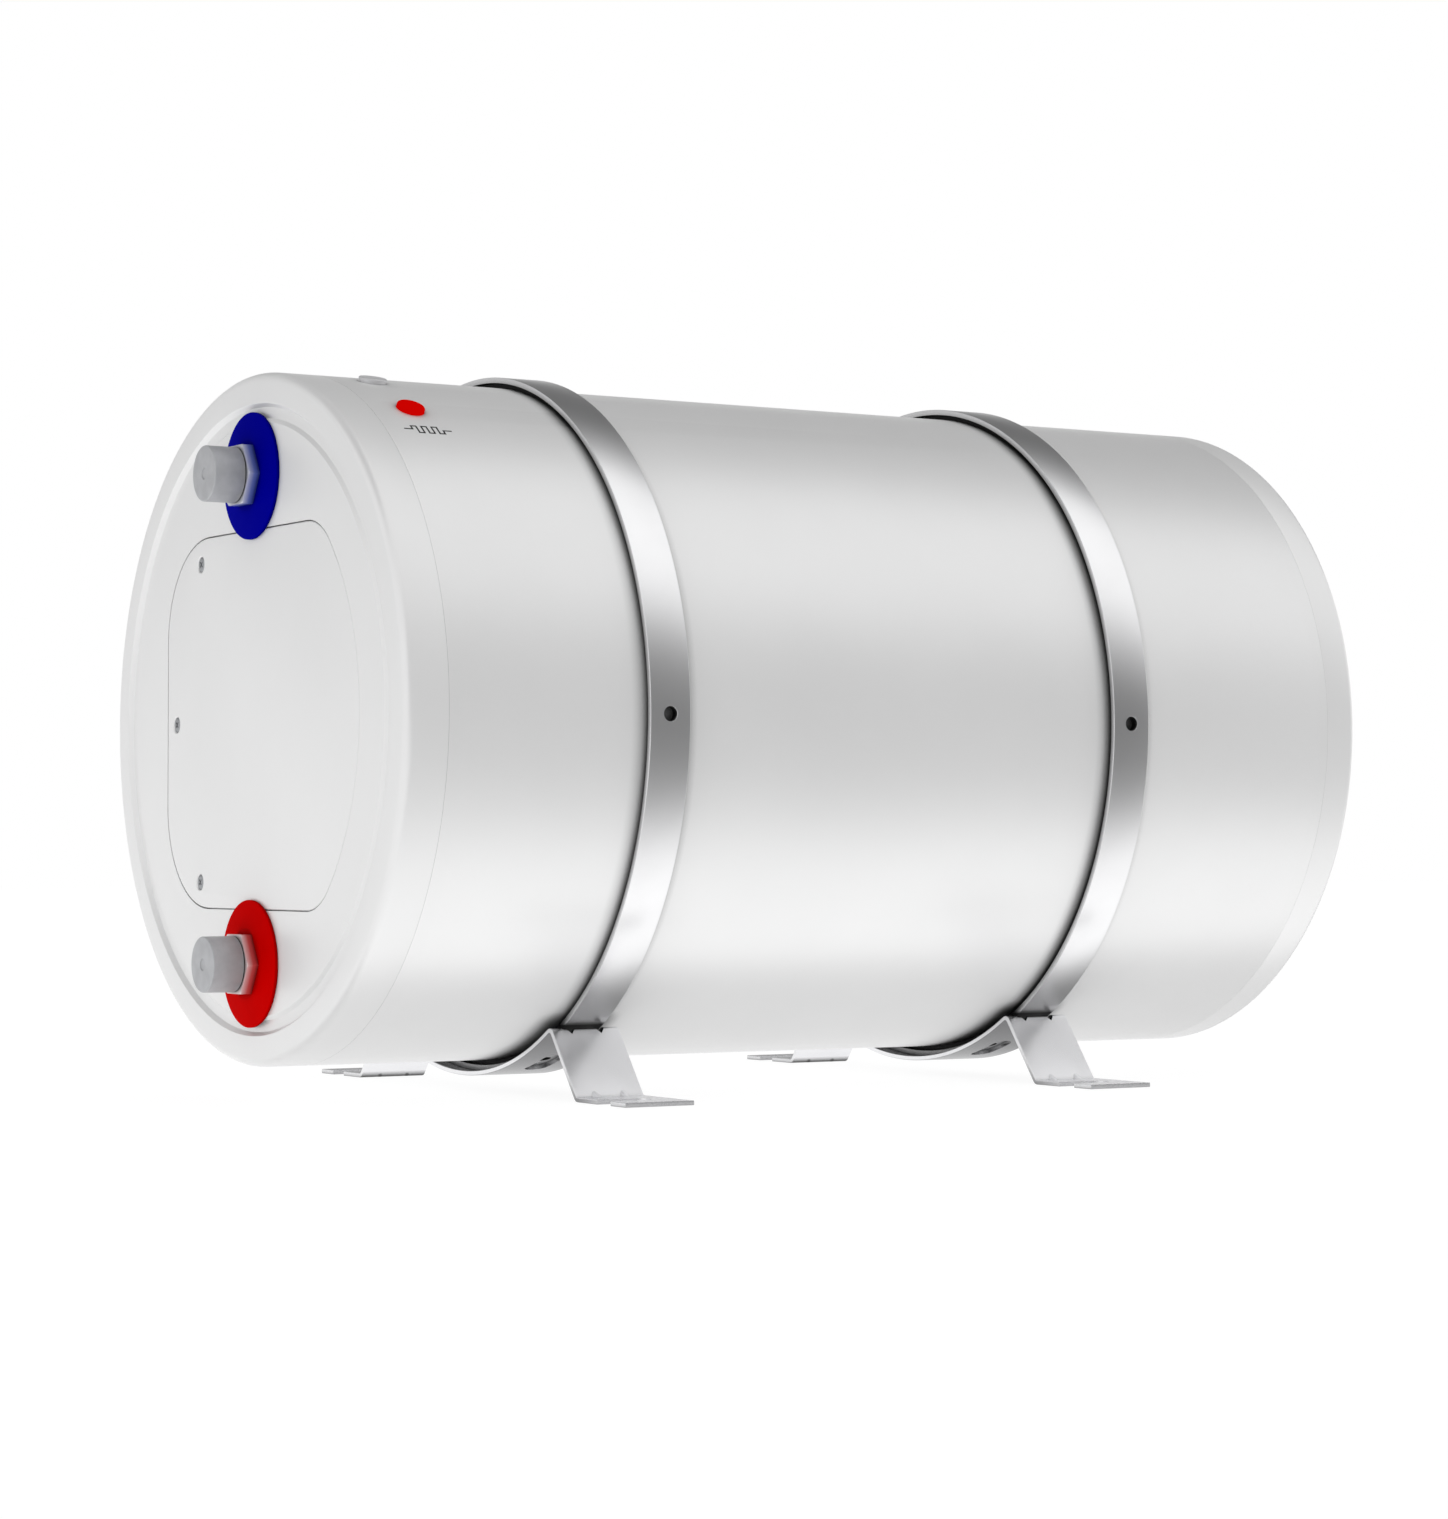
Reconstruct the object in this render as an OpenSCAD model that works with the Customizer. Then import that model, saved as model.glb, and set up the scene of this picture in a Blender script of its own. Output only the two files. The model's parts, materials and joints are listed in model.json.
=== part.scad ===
// Caravan water heater: a lying round boiler in two straps and two pressed saddles.
// Millimetres. X runs along the tank, the fittings are at -X, the feet stand on Z = 0.

/* [Body] */
// Outside diameter of the shell
shell_d = 300; // [294:1:306]
// Length over both end caps
body_length = 493; // [480:1:540]
// Sheet of the shell
shell_wall = 1; // [0.8:0.1:1.5]
// Length of the front cap that shows
front_skirt = 19.5; // [17:0.5:22]
// Length of the rear cap that shows
rear_skirt = 16.5; // [14:0.5:22]
// Seam between a cap and the shell
seam = 0.2; // [0.1:0.1:0.8]
// Rounding of the front edge
front_edge = 4; // [2:0.5:4.5]
// Rounding of the rear edge
rear_edge = 3; // [2:0.5:4]
// Wall of the moulded caps behind their lowest surface
cap_wall = 3; // [2.5:0.1:3.5]
// Wall of the caps' skirts
skirt_wall = 3; // [2.5:0.1:3.5]
// Length of the spigot that a cap pushes into the shell
spigot = 7; // [6:0.5:7.5]

/* [Front face] */
// Width of the raised rim, from the outside
rim_width = 13.3; // [11:0.1:14]
// Width of the channel inside the rim
channel_width = 8.1; // [7:0.1:9]
// Depth of the channel under the rim
channel_depth = 2.2; // [2:0.1:2.6]
// Depth of the panel under the rim
panel_drop = 0.9; // [0.6:0.1:1.4]
// Run of the channel's sloped sides
channel_slope = 1.6; // [1:0.1:2]

/* [Service cover] */
// From the shell's outside in to the cover's top and bottom
cover_end_inset = 68; // [66:0.5:72]
// From the shell's outside in to the cover's straight far side
cover_far_inset = 58; // [56:0.5:62]
// From the shell's outside in to the cover's round near side
cover_near_inset = 44.5; // [42:0.5:47]
// Corner radius at the near side
near_corner = 29.4; // [24:0.2:32]
// Corner radius at the far side
far_corner = 45; // [38:0.5:48]
// Groove round the cover
cover_gap = 0.5; // [0.3:0.1:0.7]
// Thickness of the cover
cover_t = 2; // [1.6:0.1:2.2]
// Thickness of the cover's gasket
gasket_t = 0.6; // [0.4:0.1:0.8]
// Width of the ledge that carries the cover
ledge = 8; // [7:0.5:9]
// Corner screws, from the cover's top and bottom edges
screw_edge = 11.3; // [11:0.1:13]
// Corner screws, from the far side
screw_column = 36.2; // [34:0.1:38]
// Middle screw, from the far side
side_screw_edge = 9.7; // [9:0.1:11]
// Recess of a screw
recess_d = 7; // [6.8:0.1:7.6]

/* [Water connections] */
// From the shell's outside in to a connection's axis
port_inset = 44.4; // [44:0.2:45.4]
// Major diameter of the G1/2 thread
thread_d = 20.955; // [20.955]
// Pitch of the thread
thread_pitch = 1.814; // [1.814]
// Bore of a connection
port_bore = 16; // [14:0.5:17]
// Diameter of the colour-coded washers
washer_d = 55.2; // [50:0.2:56]
// Washer thickness at the rim
washer_rim = 1.7; // [1.2:0.1:2]
// Washer thickness under the nut
washer_hub = 3.3; // [2.6:0.1:3.6]
// Nut across flats
nut_flats = 25.6; // [25:0.1:28]
// Nut thickness
nut_t = 5.2; // [4.6:0.1:6]
// Diameter of a transit cap
plug_d = 24.2; // [24:0.1:25]
// Length of a transit cap
plug_length = 14.2; // [12:0.1:18]
// End wall of a transit cap
plug_end = 2.2; // [1.8:0.1:2.6]

/* [Controls on top] */
// Distance of the button and the lamp from the front
control_x = 38.8; // [37:0.1:41]
// Diameter of the button and of the lamp
control_d = 12.2; // [11.6:0.1:14]
// Height of both over the shell
control_rise = 2; // [1.6:0.1:2.4]
// Angle of the button from the top
button_angle = 15.3; // [14:0.1:16]
// Angle of the lamp from the top
lamp_angle = 30.4; // [29.5:0.1:32]
// Travel of the button
button_travel = 1.5; // [1:0.1:1.6]

/* [Straps] */
// Width of a strap
strap_w = 19; // [17:0.5:20]
// Thickness of a strap
strap_t = 2.5; // [2:0.1:3]
// Thickness of the rubber between strap and shell
liner_t = 2.2; // [1.8:0.1:2.6]
// Width of the rubber
liner_w = 13; // [11:0.5:14]
// Distance of the front strap from the front
front_overhang = 120; // [110:1:130]
// Distance between the straps
strap_spacing = 239; // [220:1:245]
// Holes in a strap
strap_hole = 6.4; // [5:0.1:6.6]
// Fixing holes of a strap on the saddle, from the bottom
saddle_hole_angle = 17; // [16.5:0.1:17.5]

/* [Saddles] */
// Width of a saddle
saddle_w = 33; // [31:0.5:36]
// Sheet of a saddle
saddle_t = 2; // [1.8:0.1:2.2]
// Angle from the bottom at which the saddle leaves the strap
saddle_angle = 30.5; // [29.5:0.1:31.5]
// Outside radius of the bend at the strap
bend_r = 3.5; // [3:0.1:4]
// Inside radius of the bend at the foot
foot_bend = 1.5; // [1:0.1:2]
// Gap under the saddle's lowest point
ground_gap = 6.3; // [6:0.1:9]
// Distance between the foot slots across the heater
foot_spacing = 255.4; // [250:0.2:262]
// From a foot slot in to the leg
foot_in = 23.5; // [22:0.1:26]
// From a foot slot out to the foot's edge
foot_out = 18.3; // [16:0.1:22]
// Width of a foot slot
slot_w = 11.4; // [9:0.1:12]
// Side clearance of the strap in the saddle's slot
strap_side_gap = 0.1; // [0.1:0.05:0.3]
// Size of the relief notches beside the strap
notch = 2.4; // [1.8:0.1:2.6]
// Distance between the pressed ribs of a foot
rib_spacing = 14; // [12:0.5:15]
// Radius of a pressed rib
rib_r = 2.4; // [2:0.1:2.8]
// Width of a saddle's window
window_w = 10; // [8:0.5:11]
// Window's half length, as an angle
window_half = 4.8; // [4.5:0.1:5.2]

/* [Tank inside] */
// Foam between the shell and the tank
insulation_t = 24; // [23:0.5:25]
// Sheet of the tank
tank_wall = 1.5; // [1.2:0.1:2]
// From the front to the top of the tank's front dome
tank_front = 70; // [68:1:72]
// From the rear to the top of the tank's rear dome
tank_rear = 35; // [30:1:50]
// Height of a dome
dome_h = 20; // [18:1:22]
// Diameter of the element flange
flange_d = 95; // [93:1:97]
// From the flange's edge in to the bolts
bolt_edge = 8.5; // [8:0.1:9]
// From the bolts in to the opening under the flange
bolt_land = 8; // [8:0.1:9]
// Length of the heating element past the flange
element_length = 280; // [220:5:290]
// Tube of the heating element
element_d = 8.5; // [8:0.1:9]
// Half of the distance between the element's two legs
element_y = 17; // [16:0.5:18]
// Length of the thermostat's well
well_length = 190; // [150:5:200]
// Diameter of the anode
anode_d = 14; // [12:0.5:15]
// Length of the anode
anode_length = 170; // [120:5:200]
// From the tank's bottom to the cold pipe's open end
dip_gap = 34; // [30:1:50]
// From the tank's top to the hot pipe's open end
pickup_gap = 14; // [12:1:30]
// Bend of both pipes
pipe_bend = 22; // [20:1:26]

/* [Controls inside] */
// Width of the thermostat's body
thermostat_w = 38; // [36:0.5:40]
// Height of the thermostat's body
thermostat_h = 32; // [30:0.5:32]
// Depth of the thermostat's body
thermostat_t = 26; // [24:0.5:27]
// Length of the thermostat's sensor
sensor_length = 130; // [100:5:140]
// Diameter of the thermostat's dial
dial_d = 22; // [20:0.5:23]
// Thickness of the dial
dial_t = 8; // [6:0.5:8]
// Diameter of the safety cut-out
cutout_d = 17; // [16:0.5:17]
// Length of the terminal block
block_w = 36; // [34:0.5:38]
// Height of the terminal block
block_h = 18; // [16:0.5:18]
// Depth of the terminal block
block_t = 15; // [14:0.5:16]
// Thread of the cable gland
gland_thread = 16; // [16:0.5:18]
// Cable gland across flats
gland_flats = 19; // [19:0.5:21]
// Bore of the cable gland
gland_bore = 8; // [6:0.5:9]

/* [Hidden] */

white = "#f4f4f3";
steel = "#c9cbcd";
cold_blue = "#00008b";
hot_red = "#b80000";
foam_yellow = "#e8d9a0";
dark = "#2b2b2b";

round_fn = 180;
small_fn = 48;
fit = 0.1;
join = 0.02;

shell_r = shell_d / 2;
shell_ri = shell_r - shell_wall;
strap_ri = shell_r + liner_t;
strap_ro = strap_ri + strap_t;
axis_height = strap_ro + saddle_t + ground_gap;
front_x = -front_overhang - strap_spacing / 2;
strap_at = [front_overhang, front_overhang + strap_spacing];

cover_half = shell_r - cover_end_inset;
cover_far = shell_r - cover_far_inset;
cover_near = shell_r - cover_near_inset;
panel_back = channel_depth + cap_wall;
cap_ri = shell_r - skirt_wall;
rim_r = shell_r - rim_width;
panel_r = rim_r - channel_width;
cover_seat = panel_drop + cover_t + gasket_t;
boss_end = cover_seat + 10.5;
cover_screws_at = [[cover_far - screw_column, cover_half - screw_edge],
    [cover_far - side_screw_edge, 0], [cover_far - screw_column, -(cover_half - screw_edge)]];
hook_z = 14;
hook_half = 8;

port_z = shell_r - port_inset;
thread_r = thread_d / 2;
nut_base = panel_drop - washer_hub;
nut_front = nut_base - nut_t;
plug_gap = 0.3;
plug_rear = nut_front - plug_gap;
plug_front = plug_rear - plug_length;
port_tip = plug_front + plug_end + plug_gap;

control_r = control_d / 2;
control_hole = control_r + 0.3;
holder_r = control_r + 4;
holder_depth = 20.5 + button_travel;
button_flange = shell_r - shell_wall - 0.9;
button_flange_t = 3;
stem_r = 2.2;
spring_low = shell_r - holder_depth + 3;
spring_high = button_flange - button_flange_t;
spring_turns = 5;
spring_r = 3.6;
spring_wire = 0.4;
spring_free = 0.15;

strap_hole_angles = [0, 90, -90, 180 - saddle_hole_angle, 180 + saddle_hole_angle];
rib_shift = -1.1;

tank_r = shell_ri - insulation_t;
dome_r = (tank_r * tank_r + dome_h * dome_h) / (2 * dome_h);
tank_back = body_length - tank_rear;
cylinder_from = tank_front + dome_h;
cylinder_to = tank_back - dome_h;
nipple_end = tank_front + dome_h - 3;
ring_front = tank_front - 6;
gasket_front = ring_front - 2;
flange_t = 5;
flange_front = gasket_front - flange_t;
flange_pcd = flange_d - 2 * bolt_edge;
flange_bore = flange_pcd - 2 * bolt_land;
foam_front = flange_front;
bracket_t = 1.5;
pipe_r = port_bore / 2 - 0.05;
pipe_wall = 1;
dip_rear = 48;
pickup_rear = 18;
element_r = element_d / 2;
element_z = 3;
element_pin = 15;
well_r = 5;
well_z = 20;
anode_z = -15;
cutout_z = -36;
body_front = flange_front - 6 - thermostat_t;
body_top = thermostat_h / 2 + 2;
spade_y = 12;
spade_h = 7.5;
spade_depth = 12;
shaft_r = 3;
cutout_front = flange_front - 13;
reset_r = 2.5;
reset_travel = 1.2;
block_y = 54;
lead_r = 1.1;
lead_gap = 0.05;
gland_x = 45;
gland_angle = -120;

// Places children on the tank's axis: x across, y up, z along the tank from the front rim.
module tank(x = 0) {
    translate([front_x + x, 0, axis_height]) rotate([90, 0, 90]) children();
}

// Places children on a radius of the tank: z outwards, the angle from the top towards -Y.
module radial(x, angle, r = 0) {
    translate([front_x + x, 0, axis_height]) rotate([angle, 0, 0]) translate([0, 0, r]) children();
}

module ring(ro, ri, h, fn = round_fn) {
    difference() {
        cylinder(r = ro, h = h, $fn = fn);
        translate([0, 0, -1]) cylinder(r = ri, h = h + 2, $fn = fn);
    }
}

// A tube along a list of points, for the spring and the leads. It never runs along "up".
function unit(v) = v / norm(v);
function tangent(p, i) = unit(p[min(i + 1, len(p) - 1)] - p[max(i - 1, 0)]);
module sweep(p, r, up = [0, 0, 1], sides = 6) {
    n = len(p);
    rings = [for (i = [0:n - 1]) let (t = tangent(p, i), a = unit(cross(t, up)), b = cross(t, a))
        for (k = [0:sides - 1]) p[i] + r * (cos(360 * k / sides) * a + sin(360 * k / sides) * b)];
    walls = [for (i = [0:n - 2], k = [0:sides - 1]) let (a = i * sides + k, b = i * sides + (k + 1) % sides)
        each [[a, b, a + sides], [b, b + sides, a + sides]]];
    ends = [for (k = [1:sides - 2]) each [[0, k + 1, k],
        [(n - 1) * sides, (n - 1) * sides + k, (n - 1) * sides + k + 1]]];
    polyhedron(points = rings, faces = concat(walls, ends));
}

// Caps and shell

module cap_outline(skirt, edge) {
    union() {
        square([shell_r - edge, skirt]);
        translate([0, edge]) square([shell_r, skirt - edge]);
        translate([shell_r - edge, edge]) circle(r = edge, $fn = small_fn);
        translate([cap_ri - 1, skirt - 1]) square([shell_ri - fit - cap_ri + 1, spigot + 1]);
    }
}

module cap_section(skirt, edge, back) {
    difference() {
        cap_outline(skirt, edge);
        translate([-1, back]) square([cap_ri + 1, skirt + spigot]);
    }
}

module face_cut() {
    polygon([[-1, -1], [rim_r, -1], [rim_r, 0], [rim_r - channel_slope, channel_depth],
        [panel_r + channel_slope, channel_depth], [panel_r, panel_drop], [-1, panel_drop]]);
}

module cover_corner(centre, radius, a, b) {
    difference() {
        polygon([centre, centre + 2 * radius * a, centre + 2 * radius * (a + b), centre + 2 * radius * b]);
        translate(centre) circle(r = radius, $fn = round_fn);
    }
}

module cover_outline(inset = 0) {
    r = cover_near - inset;
    h = cover_half - inset;
    f = cover_far - inset;
    rn = near_corner - inset;
    rf = far_corner - inset;
    near = [-sqrt(pow(r - rn, 2) - pow(h - rn, 2)), h - rn];
    difference() {
        intersection() {
            union() {
                circle(r = r, $fn = round_fn);
                translate([0, -h]) square([f, 2 * h]);
            }
            translate([-r - 1, -h]) square([r + 1 + f, 2 * h]);
        }
        for (s = [0, 1]) mirror([0, s]) {
            cover_corner(near, rn, [0, 1], unit(near));
            cover_corner([f - rf, h - rf], rf, [0, 1], [1, 0]);
        }
    }
}

module outer_shell() color(white) {
    difference() {
        tank(front_skirt + seam / 2)
            ring(shell_r, shell_ri, body_length - front_skirt - rear_skirt - seam);
        for (a = [button_angle, lamp_angle])
            radial(control_x, a, shell_r - 15) cylinder(r = control_hole, h = 30, $fn = small_fn);
        radial(gland_x, gland_angle, shell_r - 15)
            cylinder(r = gland_thread / 2 + fit, h = 30, $fn = small_fn);
    }
}

module front_cap() color(white) {
    difference() {
        union() {
            difference() {
                tank() rotate_extrude($fn = round_fn) difference() {
                    cap_section(front_skirt - seam / 2, front_edge, panel_back);
                    face_cut();
                }
                tank(-1) linear_extrude(1 + cover_seat) cover_outline(-cover_gap);
                tank(0) linear_extrude(panel_back + 5) cover_outline(ledge);
            }
            for (p = cover_screws_at)
                tank(cover_seat) translate(p) cylinder(d = 10, h = boss_end - cover_seat);
        }
        for (s = [-1, 1])
            tank(-5) translate([0, s * port_z]) cylinder(r = thread_r + 0.4, h = 20, $fn = small_fn);
        for (p = cover_screws_at) tank(cover_seat - 1) translate(p) cylinder(d = 3, h = 10, $fn = 24);
    }
}

module rear_cap() color(white) {
    tank(body_length) mirror([0, 0, 1]) rotate_extrude($fn = round_fn)
        cap_section(rear_skirt - seam / 2, rear_edge, cap_wall);
}

module service_cover() color(white) {
    difference() {
        tank(panel_drop) linear_extrude(cover_t) cover_outline();
        for (p = cover_screws_at) tank(panel_drop - 1) translate(p) {
            cylinder(d = recess_d, h = 2, $fn = small_fn);
            cylinder(d = 3.6, h = 10, $fn = 24);
        }
    }
    hook_y = sqrt(pow(cover_near - ledge, 2) - pow(hook_z + hook_half, 2)) - 1;
    hook_reach = gasket_t + panel_back - cover_seat + 0.3 + join;
    for (s = [-1, 1]) tank(panel_drop + cover_t - join) translate([-hook_y, s * hook_z - hook_half, 0]) {
        cube([2, 2 * hook_half, hook_reach + 2]);
        translate([-5, 0, hook_reach]) cube([6, 2 * hook_half, 2]);
    }
}

module cover_gasket() color(dark) {
    tank(panel_drop + cover_t) linear_extrude(gasket_t) difference() {
        cover_outline(0.5);
        cover_outline(ledge - 0.6);
        for (p = cover_screws_at) translate(p) circle(d = 4, $fn = 24);
    }
}

module cover_screws() color(steel) {
    head_d = recess_d - 0.5;
    for (p = cover_screws_at) tank(panel_drop + 0.2) translate(p) difference() {
        union() {
            cylinder(d1 = head_d - 1.2, d2 = head_d, h = 0.4, $fn = small_fn);
            translate([0, 0, 0.4]) cylinder(d = head_d, h = 0.4, $fn = small_fn);
            cylinder(d = 3 - join, h = cover_seat - panel_drop + 7, $fn = 24);
        }
        for (a = [45, 135]) rotate([0, 0, a]) translate([-1.6, -0.3, -1]) cube([3.2, 0.6, 1.5]);
    }
}

// Water connections

module washer(z) {
    r = washer_d / 2;
    tank(panel_drop) translate([0, z, 0]) rotate_extrude($fn = round_fn)
        polygon([[thread_r + 0.3, 0], [r - 0.4, 0], [r, -0.4], [r, 0.4 - washer_rim],
            [r - 0.4, -washer_rim], [nut_flats / 2 / cos(30) + 0.6, -washer_hub],
            [thread_r + 0.3, -washer_hub]]);
}
module cold_washer() color(cold_blue) washer(port_z);
module hot_washer() color(hot_red) washer(-port_z);

module nut(z) {
    corner = nut_flats / 2 / cos(30);
    tank(nut_front) translate([0, z, 0]) difference() {
        intersection() {
            cylinder(r = corner, h = nut_t, $fn = 6);
            rotate_extrude($fn = round_fn) polygon([[0, 0], [corner - 1.4, 0], [corner + 0.2, 0.9],
                [corner + 0.2, nut_t], [0, nut_t]]);
        }
        translate([0, 0, -1]) cylinder(r = thread_r + 0.03, h = nut_t + 2, $fn = small_fn);
    }
}
module cold_nut() color(white) nut(port_z);
module hot_nut() color(white) nut(-port_z);

module nipple(z) {
    turns = floor((panel_back + 12 - port_tip) / thread_pitch);
    depth = 0.64 * thread_pitch;
    tank(port_tip) translate([0, z, 0]) difference() {
        rotate_extrude($fn = 72) polygon(concat([[1, 0], [thread_r - depth, 0]],
            [for (i = [0:turns - 1]) each [[thread_r - depth, (i + 0.1) * thread_pitch + 0.01],
                [thread_r, (i + 0.45) * thread_pitch], [thread_r, (i + 0.6) * thread_pitch],
                [thread_r - depth, (i + 0.95) * thread_pitch]]],
            [[thread_r - 0.1, (turns + 0.3) * thread_pitch], [thread_r - 0.1, nipple_end - port_tip],
            [1, nipple_end - port_tip]]));
        translate([0, 0, -1]) cylinder(r = port_bore / 2, h = nipple_end - port_tip + 2, $fn = small_fn);
    }
}
module cold_nipple() color(steel) nipple(port_z);
module hot_nipple() color(steel) nipple(-port_z);

module plug(z) {
    edge = 1.2;
    r = plug_d / 2;
    tank(plug_front) translate([0, z, 0]) difference() {
        rotate_extrude($fn = round_fn) union() {
            square([r - edge, plug_length]);
            translate([0, edge]) square([r, plug_length - edge]);
            translate([r - edge, edge]) circle(r = edge, $fn = small_fn);
        }
        translate([0, 0, plug_end]) cylinder(r = thread_r + 0.08, h = plug_length, $fn = small_fn);
        translate([0, 0, -1]) cylinder(d = 5, h = 1.6, $fn = small_fn);
    }
}
module cold_cap() color("#8e8f94") plug(port_z);
module hot_cap() color("#8e8f94") plug(-port_z);

// Controls on top

module inside_shell() {
    tank() cylinder(r = shell_ri - join, h = 120, $fn = round_fn);
}

module round_top(r, h, edge) {
    rotate_extrude($fn = small_fn * 2) union() {
        square([r - edge, h]);
        square([r, h - edge]);
        translate([r - edge, h - edge]) circle(r = edge, $fn = small_fn);
    }
}

module power_button() color(white) {
    radial(control_x, button_angle, button_flange - 1)
        round_top(control_r, shell_r + control_rise - button_flange + 1, 0.5);
    radial(control_x, button_angle, button_flange - button_flange_t)
        cylinder(r = control_r + 1.2, h = button_flange_t, $fn = small_fn * 2);
    radial(control_x, button_angle, shell_r - holder_depth + 1)
        cylinder(r = stem_r, h = holder_depth - 1 - shell_r + button_flange, $fn = small_fn);
}

module holder(angle, bore, floor_t) {
    difference() {
        intersection() {
            radial(control_x, angle, shell_r - holder_depth)
                cylinder(r = holder_r, h = holder_depth, $fn = small_fn * 2);
            inside_shell();
        }
        radial(control_x, angle, shell_r - holder_depth + floor_t)
            cylinder(r = bore, h = holder_depth, $fn = small_fn * 2);
    }
}

module button_housing() color(dark) {
    difference() {
        holder(button_angle, control_r + 1.6, 3);
        radial(control_x, button_angle, shell_r - holder_depth - 1)
            cylinder(r = stem_r + 0.08, h = 8, $fn = small_fn);
    }
}

module button_spring() color(steel) {
    h = spring_high - spring_low - 2 * spring_wire - spring_free;
    steps = 16 * spring_turns;
    radial(control_x, button_angle, spring_low + spring_wire + spring_free / 2)
        sweep([for (i = [0:steps]) let (a = 360 * i / 16)
            [spring_r * cos(a), spring_r * sin(a), h * i / steps]], spring_wire);
}

module lamp_lens() color("#cc0000") {
    radial(control_x, lamp_angle, shell_r - 6)
        round_top(control_r, 6 + control_rise, 0.8);
    intersection() {
        radial(control_x, lamp_angle, shell_r - 6)
            cylinder(r = control_r + 1.5, h = 6, $fn = small_fn * 2);
        inside_shell();
    }
}

module lamp_holder() color(dark) {
    difference() {
        holder(lamp_angle, control_r + 1.52, holder_depth - 6);
        radial(control_x, lamp_angle, shell_r - holder_depth + 4)
            cylinder(r = control_r - 1.9, h = holder_depth, $fn = small_fn);
    }
}

// Straps and saddles

module band(x, ri, ro, w, hole) {
    difference() {
        tank(x - w / 2) ring(ro, ri, w);
        for (a = strap_hole_angles)
            radial(x, a, ri - 10) cylinder(d = hole, h = 30, $fn = small_fn);
    }
}
module front_strap() color(steel) band(strap_at[0], strap_ri, strap_ro, strap_w, strap_hole);
module rear_strap() color(steel) band(strap_at[1], strap_ri, strap_ro, strap_w, strap_hole);
module front_liner() color(dark) band(strap_at[0], shell_r, strap_ri, liner_w, strap_hole + 1);
module rear_liner() color(dark) band(strap_at[1], shell_r, strap_ri, liner_w, strap_hole + 1);

// Saddle profile, on the tank's cross-section: the strap's arc, a bend, a leg and a foot.
foot_top = saddle_t - axis_height;
foot_edge = foot_spacing / 2 - foot_in;
foot_end = foot_spacing / 2 + foot_out;
bend_at = (strap_ro + bend_r) * [sin(saddle_angle), -cos(saddle_angle)];
to_foot = [foot_edge, foot_top] - bend_at;
leg_angle = atan2(to_foot[1], to_foot[0]) + acos(bend_r / norm(to_foot));
leg_normal = [cos(leg_angle), sin(leg_angle)];
foot_bend_at = [foot_edge + foot_bend * (1 - sin(leg_angle)) / cos(leg_angle), foot_top + foot_bend];

// A slice of a ring between two angles.
module arc_strip(ro, ri, a0, a1) {
    mid = (a0 + a1) / 2;
    reach = 2 * ro;
    intersection() {
        difference() {
            circle(r = ro, $fn = round_fn);
            circle(r = ri, $fn = round_fn);
        }
        polygon([[0, 0], reach * [cos(a0), sin(a0)], reach * [cos(mid), sin(mid)],
            reach * [cos(a1), sin(a1)]]);
    }
}

module saddle_profile() {
    lap = 0.02;
    arc_strip(strap_ro + saddle_t, strap_ro, 270 - saddle_angle - lap, 270 + saddle_angle + lap);
    for (s = [0, 1]) mirror([s, 0]) {
        translate(bend_at) arc_strip(bend_r, bend_r - saddle_t, leg_angle - lap, 90 + saddle_angle + lap);
        polygon([bend_at + bend_r * leg_normal, bend_at + (bend_r - saddle_t) * leg_normal,
            foot_bend_at - (foot_bend + saddle_t) * leg_normal, foot_bend_at - foot_bend * leg_normal]);
        translate(foot_bend_at) arc_strip(foot_bend + saddle_t, foot_bend, 180 + leg_angle - lap, 270 + lap);
        translate([foot_bend_at[0] - lap, foot_top - saddle_t])
            square([foot_end - foot_bend_at[0] + lap, saddle_t]);
    }
}

// The opening that lets the strap pass over the bend, with its relief notches on the leg.
module strap_slot() {
    half = strap_w / 2 + strap_side_gap;
    top = bend_at[1] + bend_r;
    translate([-half, bend_at[0] - 4.5, top - 5]) cube([2 * half, 4.5, 8]);
    for (s = [-1, 1]) translate([s * (half - notch), bend_at[0] + 6, top]) rotate([90, 0, 0])
        linear_extrude(8) polygon([[-notch, 0.5], [notch, 0.5], [notch, 0], [0, -notch], [-notch, 0]]);
}

// A pressed rib across the foot bend, and the same shape as its dent underneath.
module rib(r, shift) {
    reach = 5;
    diagonal = (leg_angle + 90) / 2;
    corner = [foot_edge, foot_top] + shift * [cos(diagonal), sin(diagonal)];
    translate([0, corner[0], corner[1]]) rotate([diagonal - 90, 0, 0])
        translate([0, -reach, 0]) rotate([-90, 0, 0]) cylinder(r = r, h = 2 * reach, $fn = small_fn);
}

module saddle(x) {
    translate([front_x + x, 0, axis_height]) difference() {
        union() {
            translate([-saddle_w / 2, 0, 0]) rotate([90, 0, 90]) linear_extrude(saddle_w) saddle_profile();
            for (s = [0, 1], k = [-1, 1]) mirror([0, s, 0]) translate([k * rib_spacing / 2, 0, 0])
                intersection() {
                    rib(rib_r, rib_shift);
                    translate([-5, foot_edge - 9, foot_top - 0.5]) cube([10, 14, 12]);
                }
        }
        for (s = [0, 1]) mirror([0, s, 0]) {
            strap_slot();
            translate([0, foot_spacing / 2, foot_top - 5]) {
                cylinder(d = slot_w, h = 10, $fn = small_fn);
                translate([-saddle_w, -slot_w / 2, 0]) cube([saddle_w, slot_w, 10]);
            }
            for (k = [-1, 1]) translate([k * rib_spacing / 2, 0, 0])
                rib(rib_r - 0.6, rib_shift - saddle_t + 0.4);
        }
        for (s = [-1, 1]) {
            for (e = [-1, 1]) rotate([180 + s * (saddle_hole_angle + e * (window_half - 1.85)), 0, 0])
                cylinder(d = window_w, h = strap_ro + 10, $fn = small_fn);
            rotate([180 + s * saddle_hole_angle, 0, 0]) translate([-window_w / 2, -8, 100])
                cube([window_w, 16, 70]);
        }
    }
}
module front_saddle() color(steel) saddle(strap_at[0]);
module rear_saddle() color(steel) saddle(strap_at[1]);

// Tank and insulation

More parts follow.
